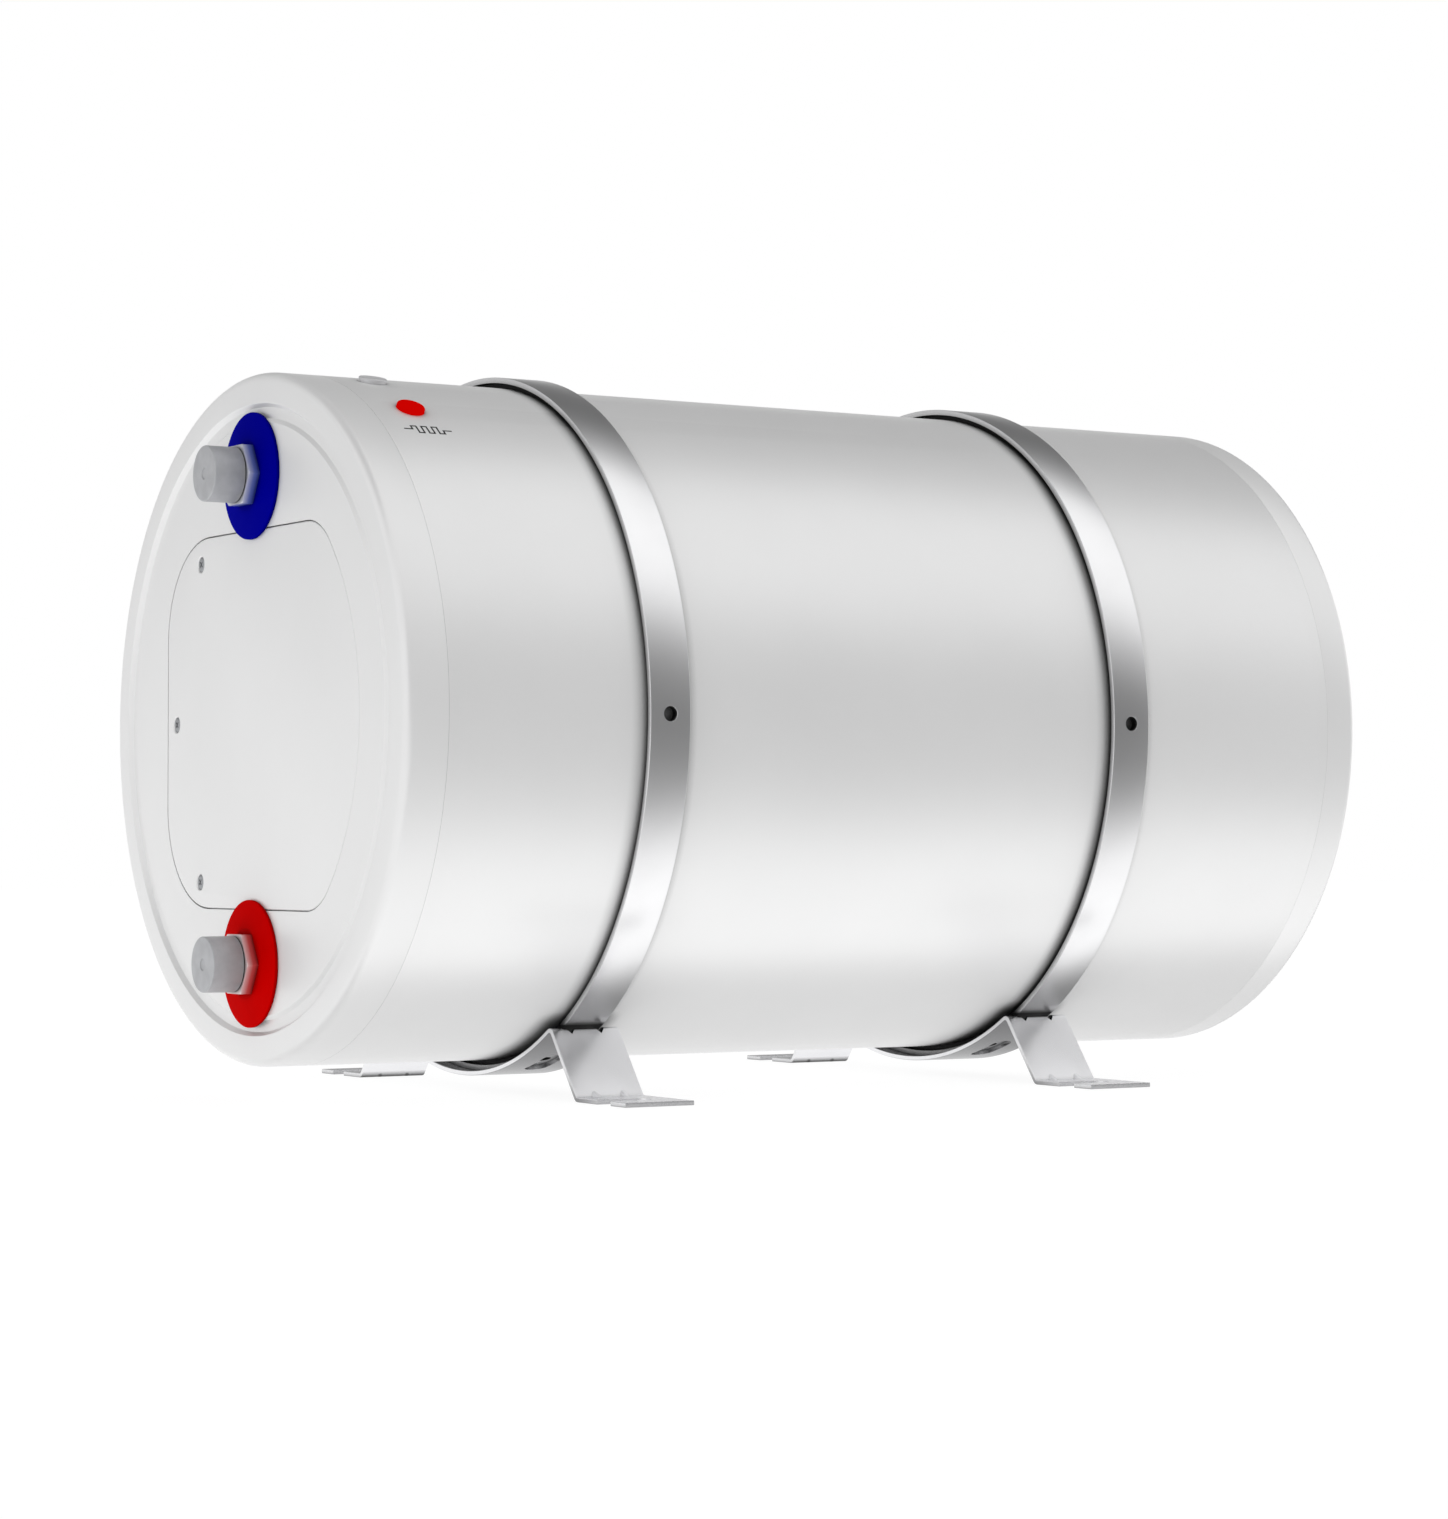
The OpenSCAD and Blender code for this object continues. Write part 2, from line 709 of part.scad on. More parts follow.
module dome_ball(x, way, r) {
    tank(x + way * dome_r) sphere(r = r, $fn = round_fn);
}

module tank_shell() color(steel) {
    tank(cylinder_from) ring(tank_r, tank_r - tank_wall, cylinder_to - cylinder_from);
}

module head(x, way, from) {
    intersection() {
        difference() {
            dome_ball(x, way, dome_r);
            dome_ball(x, way, dome_r - tank_wall);
        }
        tank(from) cylinder(r = tank_r, h = dome_h, $fn = round_fn);
    }
}

module tank_front_head() color(steel) {
    difference() {
        union() {
            head(tank_front, 1, tank_front);
            difference() {
                tank(ring_front) cylinder(d = flange_d, h = 9, $fn = round_fn);
                dome_ball(tank_front, 1, dome_r - 0.5);
            }
        }
        tank(ring_front - 1) cylinder(d = flange_bore, h = 20, $fn = small_fn * 2);
        for (s = [-1, 1]) tank(tank_front - 5) translate([0, s * port_z])
            cylinder(r = thread_r - 0.1 + join, h = 40, $fn = small_fn);
        flange_holes(ring_front - 1, 4.1, 20);
    }
}

module tank_rear_head() color(steel) head(tank_back, -1, cylinder_to);

module foam_ring(from, to, ro) {
    tank(from) cylinder(r = ro, h = to - from, $fn = round_fn);
}

module insulation_front() color(foam_yellow) {
    difference() {
        foam_ring(foam_front, cylinder_from, shell_ri - fit);
        dome_ball(tank_front, 1, dome_r + fit);
        tank(foam_front - 1) cylinder(d = flange_d + 4, h = 30, $fn = round_fn);
        for (s = [-1, 1])
            tank(foam_front - 1) translate([0, s * port_z])
                cylinder(r = thread_r + fit, h = cylinder_from - foam_front + 2, $fn = small_fn);
    }
}

module insulation_sleeve() color(foam_yellow) {
    tank(cylinder_from) ring(shell_ri - fit, tank_r + fit, cylinder_to - cylinder_from);
}

module insulation_rear() color(foam_yellow) {
    spigot_start = body_length - rear_skirt - spigot - 1;
    difference() {
        union() {
            foam_ring(cylinder_to, spigot_start, shell_ri - fit);
            foam_ring(cylinder_to, body_length - cap_wall - fit, cap_ri - fit);
        }
        dome_ball(tank_back, -1, dome_r + fit);
    }
}

// Element flange and what it carries

module flange_holes(from, r, h) {
    for (i = [0:5]) tank(from) rotate([0, 0, 60 * i]) translate([flange_pcd / 2, 0, 0])
        cylinder(r = r, h = h, $fn = small_fn);
}

module carried_holes(from, h, extra) {
    for (s = [-1, 1]) tank(from) translate([s * element_y, element_z, 0])
        cylinder(r = element_r + extra, h = h, $fn = small_fn);
    tank(from) translate([0, well_z, 0]) cylinder(r = well_r + extra, h = h, $fn = small_fn);
    tank(from) translate([0, anode_z, 0]) cylinder(r = 4 + extra, h = h, $fn = small_fn);
}

module element_flange() color(steel) {
    difference() {
        tank(flange_front) cylinder(d = flange_d, h = flange_t, $fn = round_fn);
        flange_holes(flange_front - 1, 4.1, 20);
        carried_holes(flange_front - 1, 20, join);
    }
}

module element_gasket() color(dark) {
    difference() {
        tank(gasket_front) ring(flange_d / 2 - 1, flange_bore / 2, ring_front - gasket_front);
        flange_holes(gasket_front - 1, 4.2, 20);
    }
}

module heating_element() color("#b9853f") {
    straight = element_length - element_y;
    for (s = [-1, 1]) tank(flange_front - 6) translate([s * element_y, element_z, 0]) {
        cylinder(r = element_r, h = straight + flange_t + 8, $fn = small_fn);
        translate([0, 0, 6 - element_pin]) cylinder(r = 1.6, h = element_pin - 5, $fn = 24);
    }
    tank(flange_front + straight + flange_t + 2) translate([0, element_z, 0]) rotate([90, 0, 0])
        rotate_extrude(angle = 180, $fn = round_fn) translate([element_y, 0])
            circle(r = element_r, $fn = small_fn);
}

module flange_bolts() color(steel) {
    for (i = [0:5]) tank(flange_front - (i == 0 ? bracket_t : 0)) rotate([0, 0, 60 * i])
        translate([flange_pcd / 2, 0, 0]) {
            translate([0, 0, -5.3]) cylinder(r = 6.5 / cos(30), h = 5.3, $fn = 6);
            cylinder(r = 4, h = 14, $fn = small_fn);
        }
}

module anode_rod() color("#a9a9a4") {
    tank(flange_front - 5) translate([0, anode_z, 0]) {
        cylinder(r = 6.5, h = 5, $fn = 6);
        cylinder(r = 4, h = flange_t + 12, $fn = small_fn);
        translate([0, 0, flange_t + 9]) cylinder(d = anode_d, h = anode_length, $fn = small_fn);
    }
}

module thermowell() color(steel) {
    tank(flange_front - 6) translate([0, well_z, 0]) difference() {
        union() {
            cylinder(r = well_r + 1.5, h = 6, $fn = small_fn);
            cylinder(r = well_r, h = well_length + 6, $fn = small_fn);
        }
        translate([0, 0, -1]) cylinder(r = 3.6, h = well_length + 5, $fn = small_fn);
    }
}

module thermostat_body() color("#e8e8e6") {
    tank(body_front) translate([0, well_z, 0]) difference() {
        union() {
            translate([-thermostat_w / 2, body_top - thermostat_h, 0])
                cube([thermostat_w, thermostat_h, thermostat_t]);
            translate([0, 0, thermostat_t - join]) cylinder(r = 3.5, h = sensor_length, $fn = small_fn);
            for (k = [-1, 1]) translate([k * spade_y - 3, body_top - join, spade_depth])
                cube([6, spade_h, 0.8]);
        }
        translate([0, 0, -1]) cylinder(r = shaft_r + 0.06, h = 13, $fn = small_fn);
    }
}

module thermostat_dial() color(dark) {
    tank(body_front - 0.4) translate([0, well_z, 0]) {
        translate([0, 0, -dial_t]) difference() {
            cylinder(r1 = dial_d / 2 - 0.6, r2 = dial_d / 2, h = dial_t, $fn = small_fn * 2);
            for (a = [0:30:330]) rotate([0, 0, a]) translate([dial_d / 2 + 0.3, 0, -1])
                cylinder(r = 1, h = dial_t + 2, $fn = 24);
            translate([-0.6, 3, -1]) cube([1.2, dial_d / 2, 1.8]);
        }
        translate([0, 0, -join]) cylinder(r = shaft_r, h = 11, $fn = small_fn);
    }
}

module safety_cutout() color("#3a332c") {
    tank(cutout_front) translate([0, cutout_z, 0]) difference() {
        union() {
            cylinder(d = cutout_d, h = flange_front - cutout_front, $fn = small_fn);
            cylinder(r = 4.2, h = 1, $fn = small_fn);
            for (k = [-1, 1]) translate([k * 5 - 2, -cutout_d / 2 - 3, 5]) cube([4, 4, 0.8]);
        }
        translate([0, 0, -1]) cylinder(r = reset_r + 0.08, h = 6.5, $fn = small_fn);
    }
}

module reset_button() color(hot_red) {
    tank(cutout_front - 3) translate([0, cutout_z, 0]) {
        cylinder(r = reset_r, h = 3 + 5.5 - reset_travel - 0.3, $fn = small_fn);
    }
}

// Pipes inside the tank: one down to the bottom, one up to the top.

module bent_pipe(z, rear, gap) {
    down = -sign(z);
    start = nipple_end - 8;
    run = cylinder_to - rear - pipe_bend;
    rise = port_z + tank_r - tank_wall - gap;
    module tube(h) ring(pipe_r, pipe_r - pipe_wall, h, small_fn);
    tank(start) translate([0, z, 0]) tube(run - start);
    tank(run) translate([0, z + down * pipe_bend, 0]) rotate([90, 0, -down * 90])
        rotate_extrude(angle = 90, $fn = small_fn * 2) translate([pipe_bend, 0]) difference() {
            circle(r = pipe_r, $fn = small_fn);
            circle(r = pipe_r - pipe_wall, $fn = small_fn);
        }
    tank(run + pipe_bend) translate([0, z + down * pipe_bend, 0]) rotate([-down * 90, 0, 0])
        tube(rise - pipe_bend);
}
module cold_dip_pipe() color(steel) bent_pipe(port_z, dip_rear, dip_gap);
module hot_pickup_pipe() color(steel) bent_pipe(-port_z, pickup_rear, pickup_gap);

// Wiring

module terminal_bracket() color(steel) {
    bolt = flange_pcd / 2;
    tank(flange_front - bracket_t) difference() {
        translate([bolt - 11, -block_h / 2 - 2, 0])
            cube([block_y + block_w + 2 - bolt + 11, block_h + 4, bracket_t]);
        translate([bolt, 0, -1]) cylinder(r = 4.1, h = 5, $fn = small_fn);
        for (x = [4, block_w - 4]) translate([block_y + x, 0, -1]) cylinder(r = 1.5, h = 5, $fn = 24);
    }
}

module terminal_block() color("#efefea") {
    pole = block_w / 3;
    tank(flange_front - bracket_t - block_t) translate([block_y, -block_h / 2, 0]) difference() {
        cube([block_w, block_h, block_t]);
        for (i = [0:2]) translate([pole * (i + 0.5), 0, -1]) {
            for (y = [5, block_h - 5]) translate([0, y, 0]) cylinder(r = 2, h = 7, $fn = 24);
            translate([0, -1, 9]) rotate([-90, 0, 0]) cylinder(r = 2.2, h = block_h + 2, $fn = 24);
        }
        for (i = [1:2]) translate([pole * i - 0.8, -1, -1]) cube([1.6, block_h + 2, 5]);
    }
}

module cable_gland() color(dark) {
    radial(gland_x, gland_angle, shell_r) difference() {
        union() {
            translate([0, 0, -10]) cylinder(d = gland_thread, h = 11, $fn = small_fn);
            cylinder(r = gland_flats / 2 / cos(30), h = 5, $fn = 6);
            translate([0, 0, 5 - join]) cylinder(d = gland_flats - 1, h = 7, $fn = small_fn * 2);
            translate([0, 0, 12 - 2 * join])
                cylinder(d1 = gland_flats - 1, d2 = gland_flats - 6, h = 4, $fn = small_fn * 2);
        }
        translate([0, 0, -11]) cylinder(d = gland_bore, h = 30, $fn = small_fn);
    }
}

module gland_locknut() color(dark) {
    intersection() {
        radial(gland_x, gland_angle, shell_r - 8) difference() {
            cylinder(r = gland_flats / 2 / cos(30), h = 8, $fn = 6);
            translate([0, 0, -1]) cylinder(d = gland_thread + join, h = 20, $fn = small_fn);
        }
        inside_shell();
    }
}

// A lead from a to d on a curve with the handles b and c. Both ends point straight forwards.
function curve(a, b, c, d, n = 14) = concat([a], [for (i = [0:n]) let (t = i / n, u = 1 - t)
    u * u * u * a + 3 * u * u * t * b + 3 * u * t * t * c + t * t * t * d - [0, 0, 0.5]], [d]);

module leads() color(hot_red) {
    screw_z = 5 - block_h / 2;
    block_front = flange_front - bracket_t - block_t + 3;
    pins = flange_front - element_pin - lead_gap;
    spades = body_front + spade_depth - lead_gap;
    spade_z = well_z + body_top + spade_h - 3;
    pole = block_w / 3;
    first = [block_y + pole / 2, screw_z, block_front];
    second = [block_y + pole * 1.5, screw_z, block_front];
    near_pin = [element_y, element_z, pins];
    far_pin = [-element_y, element_z, pins];
    near_spade = [spade_y, spade_z, spades];
    far_spade = [-spade_y, spade_z, spades];
    ahead = [0, 0, -14];
    tank() {
        sweep(curve(first, first + ahead, near_pin + ahead, near_pin), lead_r, [0, 1, 0]);
        sweep(curve(second, second + ahead, near_spade + [10, 10, -14], near_spade), lead_r, [0, 1, 0]);
        sweep(curve(far_spade, far_spade + [0, 0, -30], far_pin + [0, -3, -44], far_pin), lead_r, [1, 0, 0]);
    }
}

outer_shell();
front_cap();
rear_cap();
service_cover();
cover_gasket();
cover_screws();
cold_washer();
hot_washer();
cold_nut();
hot_nut();
cold_nipple();
hot_nipple();
cold_cap();
hot_cap();
power_button();
button_spring();
button_housing();
lamp_lens();
lamp_holder();
front_strap();
rear_strap();
front_liner();
rear_liner();
front_saddle();
rear_saddle();
tank_shell();
tank_front_head();
tank_rear_head();
insulation_front();
insulation_sleeve();
insulation_rear();
element_flange();
element_gasket();
heating_element();
flange_bolts();
anode_rod();
thermowell();
thermostat_body();
thermostat_dial();
safety_cutout();
reset_button();
cold_dip_pipe();
hot_pickup_pipe();
terminal_bracket();
terminal_block();
cable_gland();
gland_locknut();
leads();
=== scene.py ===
"""Caravan water heater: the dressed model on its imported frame.

Lengths are in metres. X runs along the tank with the water fittings at -X, the feet stand on Z = 0,
and the service cover faces -X.
"""

import json
import math

import bmesh
import bpy
from bpy.props import FloatProperty, FloatVectorProperty, IntProperty, PointerProperty, StringProperty
from mathutils import Matrix, Vector


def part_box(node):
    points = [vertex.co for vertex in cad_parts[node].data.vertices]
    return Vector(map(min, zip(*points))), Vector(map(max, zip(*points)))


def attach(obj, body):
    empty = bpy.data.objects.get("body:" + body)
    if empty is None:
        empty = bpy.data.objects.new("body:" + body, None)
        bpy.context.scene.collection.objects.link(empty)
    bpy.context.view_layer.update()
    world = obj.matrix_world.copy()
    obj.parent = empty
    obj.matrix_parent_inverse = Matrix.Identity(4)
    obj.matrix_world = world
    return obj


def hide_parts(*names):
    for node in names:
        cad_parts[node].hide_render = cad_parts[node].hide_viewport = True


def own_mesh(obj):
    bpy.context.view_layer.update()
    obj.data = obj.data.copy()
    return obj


bl_info = {
    "name": "Caravan water heater",
    "version": (1, 0, 0),
    "blender": (4, 5, 0),
    "location": "View3D > Sidebar > Heater",
    "description": "Dresses the packed frame of a lying caravan water heater",
    "category": "Object",
}

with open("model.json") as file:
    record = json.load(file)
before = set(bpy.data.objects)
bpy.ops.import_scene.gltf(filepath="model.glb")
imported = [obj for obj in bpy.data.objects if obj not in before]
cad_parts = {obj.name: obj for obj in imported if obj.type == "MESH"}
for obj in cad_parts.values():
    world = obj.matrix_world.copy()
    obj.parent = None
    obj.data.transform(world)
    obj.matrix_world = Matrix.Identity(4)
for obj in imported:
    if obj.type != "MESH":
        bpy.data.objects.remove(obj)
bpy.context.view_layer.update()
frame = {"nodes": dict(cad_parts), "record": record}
MM = 0.001
THROUGH = 20 * MM  # a cutter's reach where its length doesn't matter


def millimetres(name, description, value):
    """A length that a user would change, given here in millimetres."""
    return FloatProperty(name=name, description=description, default=value * MM, unit="LENGTH", precision=4)


def degrees(name, description, value):
    """An angle that a user would change, given here in degrees."""
    return FloatProperty(name=name, description=description, default=math.radians(value), unit="ROTATION")


def hex_colour(name, description, value):
    """A colour that a user would change, as sRGB hex."""
    return StringProperty(name=name, description=description + " (sRGB hex)", default=value)


class HeaterBody(bpy.types.PropertyGroup):
    shell_d: millimetres("Shell diameter", "Outside diameter of the shell", 300)
    body_length: millimetres("Length", "Length over both end caps", 493)
    shell_wall: millimetres("Shell sheet", "Sheet thickness of the shell", 1)
    front_skirt: millimetres("Front skirt", "Length of the front cap that shows", 19.5)
    rear_skirt: millimetres("Rear skirt", "Length of the rear cap that shows", 16.5)
    seam: millimetres("Seam", "Gap between a cap and the shell", 0.06)
    front_edge: millimetres("Front edge", "Rounding of the front edge", 4)
    rear_edge: millimetres("Rear edge", "Rounding of the rear edge", 3)
    cap_wall: millimetres("Cap wall", "Wall behind the lowest surface of a cap", 3)
    spigot: millimetres("Spigot", "What a cap pushes into the shell", 7)
    axis_height: millimetres("Axis height", "Height of the tank's axis over the floor", 163)
    front_x: millimetres("Front plane", "Where the front rim stands along X", -239.5)


class HeaterFace(bpy.types.PropertyGroup):
    rim_width: millimetres("Rim", "Width of the raised rim", 13.3)
    channel_width: millimetres("Channel", "Width of the channel inside the rim", 8.1)
    channel_depth: millimetres("Channel depth", "Depth of the channel under the rim", 2.2)
    channel_slope: millimetres("Channel slope", "Run of the channel's sloped sides", 1.6)
    panel_drop: millimetres("Panel drop", "Depth of the panel under the rim", 0.9)
    cover_half: millimetres("Cover half height", "Half of the cover's height", 82)
    cover_far: millimetres("Cover far side", "Axis to the cover's straight side", 92)
    cover_near: millimetres("Cover near radius", "Radius of the cover's round side", 105.5)
    near_corner: millimetres("Near corners", "Corner radius at the round side", 29.4)
    far_corner: millimetres("Far corners", "Corner radius at the straight side", 45)
    cover_gap: millimetres("Groove", "Groove round the cover", 0.5)
    cover_t: millimetres("Cover thickness", "Thickness of the cover", 2)
    gasket_t: millimetres("Cover gasket", "Gasket between the cover and its ledge", 0.6)
    ledge: millimetres("Ledge", "Ledge that carries the cover", 8)
    recess_d: millimetres("Screw recess", "Diameter of a screw's recess", 7)
    head_d: millimetres("Screw head", "Diameter of a cover screw's head", 6.5)
    shank_d: millimetres("Screw shank", "Diameter of a cover screw's shank", 2.96)
    screw_length: millimetres("Screw length", "Length of a cover screw with its head", 9.6)
    hook_spacing: millimetres("Hook spacing", "Between the two hooks of the cover", 28)


class HeaterFittings(bpy.types.PropertyGroup):
    port_spacing: millimetres("Connections", "Distance between the two connections", 211.2)
    thread_d: millimetres("Thread", "Major diameter of the pipe thread", 20.955)
    thread_pitch: millimetres("Pitch", "Pitch of the pipe thread", 1.814)
    port_bore: millimetres("Bore", "Bore of a connection", 16)
    washer_d: millimetres("Washer", "Diameter of a coloured washer", 55.2)
    washer_rim: millimetres("Washer rim", "Washer thickness at the rim", 1.7)
    washer_hub: millimetres("Washer hub", "Washer thickness under the nut", 3.3)
    nut_flats: millimetres("Nut", "Nut across flats", 25.6)
    nut_t: millimetres("Nut thickness", "Thickness of a nut", 5.2)
    plug_d: millimetres("Transit cap", "Diameter of a transit cap", 24.2)
    plug_length: millimetres("Transit cap length", "Length of a transit cap", 14.2)
    control_x: millimetres("Controls", "Button and lamp from the front", 38.8)
    control_d: millimetres("Control diameter", "Diameter of the button and the lamp", 12.2)
    control_rise: millimetres("Control rise", "Height of both over the shell", 2)
    button_travel: millimetres("Button travel", "Travel of the button", 1.5)
    spring_r: millimetres("Spring radius", "From the spring's axis to the middle of its wire", 3.6)
    spring_wire: millimetres("Spring wire", "Half of the spring wire's thickness", 0.4)
    button_angle: degrees("Button angle", "Angle of the button from the top", 15.3)
    lamp_angle: degrees("Lamp angle", "Angle of the lamp from the top", 30.4)
    mark_angle: degrees("Mark angle", "Angle of the printed mark from the top", 37.3)
    mark_w: millimetres("Mark width", "Width of the printed mark", 21.5)
    mark_h: millimetres("Mark height", "Height of the printed mark", 5)
    mark_line: millimetres("Mark line", "Line width of the printed mark", 0.72)
    entry_x: millimetres("Cable entry", "Cable entry from the front", 45)
    entry_d: millimetres("Cable entry hole", "Diameter of the cable gland's hole", 16.2)
    entry_angle: degrees("Cable entry angle", "Angle of the cable entry from the top", -120)


class HeaterBrackets(bpy.types.PropertyGroup):
    strap_w: millimetres("Strap width", "Width of a strap", 19)
    strap_t: millimetres("Strap thickness", "Thickness of a strap", 2.5)
    liner_t: millimetres("Liner", "Rubber between strap and shell", 2.2)
    liner_w: millimetres("Liner width", "Width of the rubber", 13)
    front_overhang: millimetres("Front strap", "Front strap from the front", 120)
    strap_spacing: millimetres("Strap spacing", "Distance between the straps", 239)
    strap_hole: millimetres("Strap hole", "Holes in a strap", 6.4)
    hole_angle: degrees("Strap fixing", "Fixing holes from the bottom", 17)
    saddle_w: millimetres("Saddle width", "Width of a saddle", 33)
    saddle_t: millimetres("Saddle sheet", "Sheet thickness of a saddle", 2)
    saddle_angle: degrees("Saddle arc", "Where the saddle leaves the strap", 30.5)
    bend_r: millimetres("Upper bend", "Outside radius of the bend at the strap", 3.5)
    foot_bend: millimetres("Foot bend", "Inside radius of the bend at the foot", 1.5)
    foot_spacing: millimetres("Foot spacing", "Between the foot slots", 255.4)
    foot_in: millimetres("Foot inside", "From a foot slot in to the leg", 23.5)
    foot_out: millimetres("Foot outside", "From a foot slot to the foot's edge", 18.3)
    slot_w: millimetres("Foot slot", "Width of a foot slot", 11.4)
    notch: millimetres("Notch", "Relief notches beside the strap", 2.4)
    rib_spacing: millimetres("Rib spacing", "Between the pressed ribs of a foot", 14)
    rib_r: millimetres("Rib radius", "Radius of a pressed rib", 2.4)
    rib_shift: millimetres("Rib shift", "Rib centre from the bend's corner, outwards", -1.1)
    window_w: millimetres("Window", "Width of a saddle's window", 10)
    window_half: degrees("Window length", "Half of the window's length", 4.8)


class HeaterColours(bpy.types.PropertyGroup):
    shell: hex_colour("Shell", "Powder coat of the shell", "#F4F4F4")
    caps: hex_colour("Caps", "Moulded end caps and cover", "#F4F4F4")
    cold: hex_colour("Cold", "Washer of the cold connection", "#000096")
    hot: hex_colour("Hot", "Washer of the hot connection", "#D20000")
    transit: hex_colour("Transit caps", "Grey transit caps", "#BABBBE")
    button: hex_colour("Button", "Moulded power button", "#DDDDDF")
    lamp: hex_colour("Lamp", "Lens of the lamp", "#480000")
    print: hex_colour("Print", "Printed heat mark", "#1C1C1E")
    band: hex_colour("Straps", "Stainless straps", "#FAFAFB")
    sheet: hex_colour("Saddles", "Stainless saddles", "#F2F2F4")


class HeaterStudio(bpy.types.PropertyGroup):
    camera: FloatVectorProperty(name="Camera", description="Where the camera stands", subtype="TRANSLATION",
                                unit="LENGTH", default=(-0.92287, -1.51815, 0.10524))
    azimuth: degrees("Azimuth", "Viewing direction from +Y towards +X", 31.305)
    elevation: degrees("Elevation", "Viewing direction over the horizon", 1.403)
    lens: FloatProperty(name="Lens", description="Focal length on a 36 mm sensor", default=90.55)
    ambient: FloatProperty(name="Ambient", description="Soft light from all round, at eye level", default=0.2)
    overhead: FloatProperty(name="Overhead", description="Soft light from straight above", default=1.35)
    key: FloatProperty(name="Key", description="Power of the key softbox in watts", default=1.2)
    glow: FloatProperty(name="Table glow", description="What the light table adds from below", default=1.25)
    steps: IntProperty(name="Steps", description="Facets round the shell", default=288)


GROUPS = {"heater_body": HeaterBody, "heater_face": HeaterFace, "heater_fittings": HeaterFittings,
          "heater_brackets": HeaterBrackets, "heater_colours": HeaterColours, "heater_studio": HeaterStudio}


# Places

def tank_at(x=0.0, z=0.0):
    """The tank's own frame: x across, y up and z along it from the front rim, moved by world x and z."""
    body = bpy.context.scene.heater_body
    turn = Matrix(((0, 0, 1, 0), (1, 0, 0, 0), (0, 1, 0, 0), (0, 0, 0, 1)))
    return Matrix.Translation((body.front_x + x, 0, body.axis_height + z)) @ turn


def radial_at(x, angle, r=0.0):
    """z runs outwards on a radius of the tank, at an angle from the top towards -Y."""
    body = bpy.context.scene.heater_body
    return (Matrix.Translation((body.front_x + x, 0, body.axis_height)) @ Matrix.Rotation(angle, 4, "X")
            @ Matrix.Translation((0, 0, r)))


def at_point(matrix, point, z=0.0):
    """The same frame, moved to a point of its own (x, y) plane."""
    return matrix @ Matrix.Translation((point[0], point[1], z))


def ray(angle, r=1.0):
    """The point at a distance r from the origin, at an angle from x towards y."""
    return Vector((r * math.cos(angle), r * math.sin(angle)))


def arc(centre, r, start, end, count=8):
    """Points of an arc, both ends included, angles in radians."""
    return [Vector(centre) + ray(start + (end - start) * i / count, r) for i in range(count + 1)]


def rounded(points, count=5):
    """A closed outline whose corners are rounded: each point is (x, y) or (x, y, radius)."""
    out = []
    for i, p in enumerate(points):
        here = Vector(p[:2])
        r = p[2] if len(p) > 2 else 0.0
        if r <= 0:
            out.append(here)
            continue
        before = (Vector(points[i - 1][:2]) - here).normalized()
        after = (Vector(points[(i + 1) % len(points)][:2]) - here).normalized()
        half = before.angle(after) / 2
        centre = here + (before + after).normalized() * (r / math.sin(half))
        reach = r / math.tan(half)
        a = here + before * reach - centre
        b = here + after * reach - centre
        angle = a.angle_signed(b)
        out += [centre + Matrix.Rotation(-angle * (k / count), 2) @ a for k in range(count + 1)]
    return out


# Meshes

def mesh_piece(name, verts, faces, at=None, smooth=35):
    """A new object. at is the frame of its points, and edges sharper than smooth, in degrees, stay sharp."""
    mesh = bpy.data.meshes.new(name)
    mesh.from_pydata([tuple(v) for v in verts], [], faces)
    if at is not None:
        mesh.transform(at)
    obj = bpy.data.objects.new(name, mesh)
    bpy.context.scene.collection.objects.link(obj)
    tidy_normals(obj, smooth)
    return obj


def tidy_normals(obj, smooth=35, mend=False):
    """Welds the mesh, closes the pinholes that a cut can leave, and sets which edges are sharp."""
    work = bmesh.new()
    work.from_mesh(obj.data)
    bmesh.ops.remove_doubles(work, verts=work.verts, dist=1e-7)
    if mend:
        bmesh.ops.holes_fill(work, edges=[e for e in work.edges if e.is_boundary], sides=6)
    bmesh.ops.recalc_face_normals(work, faces=work.faces)
    work.to_mesh(obj.data)
    work.free()
    obj.data.shade_smooth()
    obj.data.set_sharp_from_angle(angle=math.radians(smooth))


def skin(name, rings, at=None, closed=False, smooth=35):
    """A surface through rings of equally many points. A ring of one point is a pole."""
    verts, starts = [], []
    for ring in rings:
        starts.append(len(verts))
        verts.extend(ring)
    faces = []
    pairs = list(zip(range(len(rings) - 1), range(1, len(rings))))
    if closed:
        pairs.append((len(rings) - 1, 0))
    for i, j in pairs:
        a, b = starts[i], starts[j]
        na, nb = len(rings[i]), len(rings[j])
        n = max(na, nb)
        for k in range(n):
            m = (k + 1) % n
            if na == 1 and nb == 1:
                break
            if na == 1:
                faces.append((a, b + k, b + m))
            elif nb == 1:
                faces.append((a + k, b, a + m))
            else:
                faces.append((a + k, b + k, b + m, a + m))
    if not closed:
        for i in (0, len(rings) - 1):
            if len(rings[i]) > 2:
                faces.append(tuple(range(starts[i], starts[i] + len(rings[i]))))
    return mesh_piece(name, verts, faces, at, smooth)


def lathe(name, outline, at, steps=96, smooth=35):
    """Turns a closed outline of (radius, height) points round the local z axis."""
    rings = [[Vector((*p, z)) for p in circle(r, steps)] if r > 1e-7 else [Vector((0, 0, z))]
             for r, z in outline]
    solid = any(len(ring) == 1 for ring in rings)
    if solid:
        while not (len(rings[0]) == 1 and len(rings[-1]) == 1):
            rings.append(rings.pop(0))
    return skin(name, rings, at, closed=not solid, smooth=smooth)


def prism(name, outline, low, high, at):
    """A plain straight solid on an outline, for cutting and joining."""
    return skin(name, [[Vector((*p, z)) for p in outline] for z in (low, high)], at)


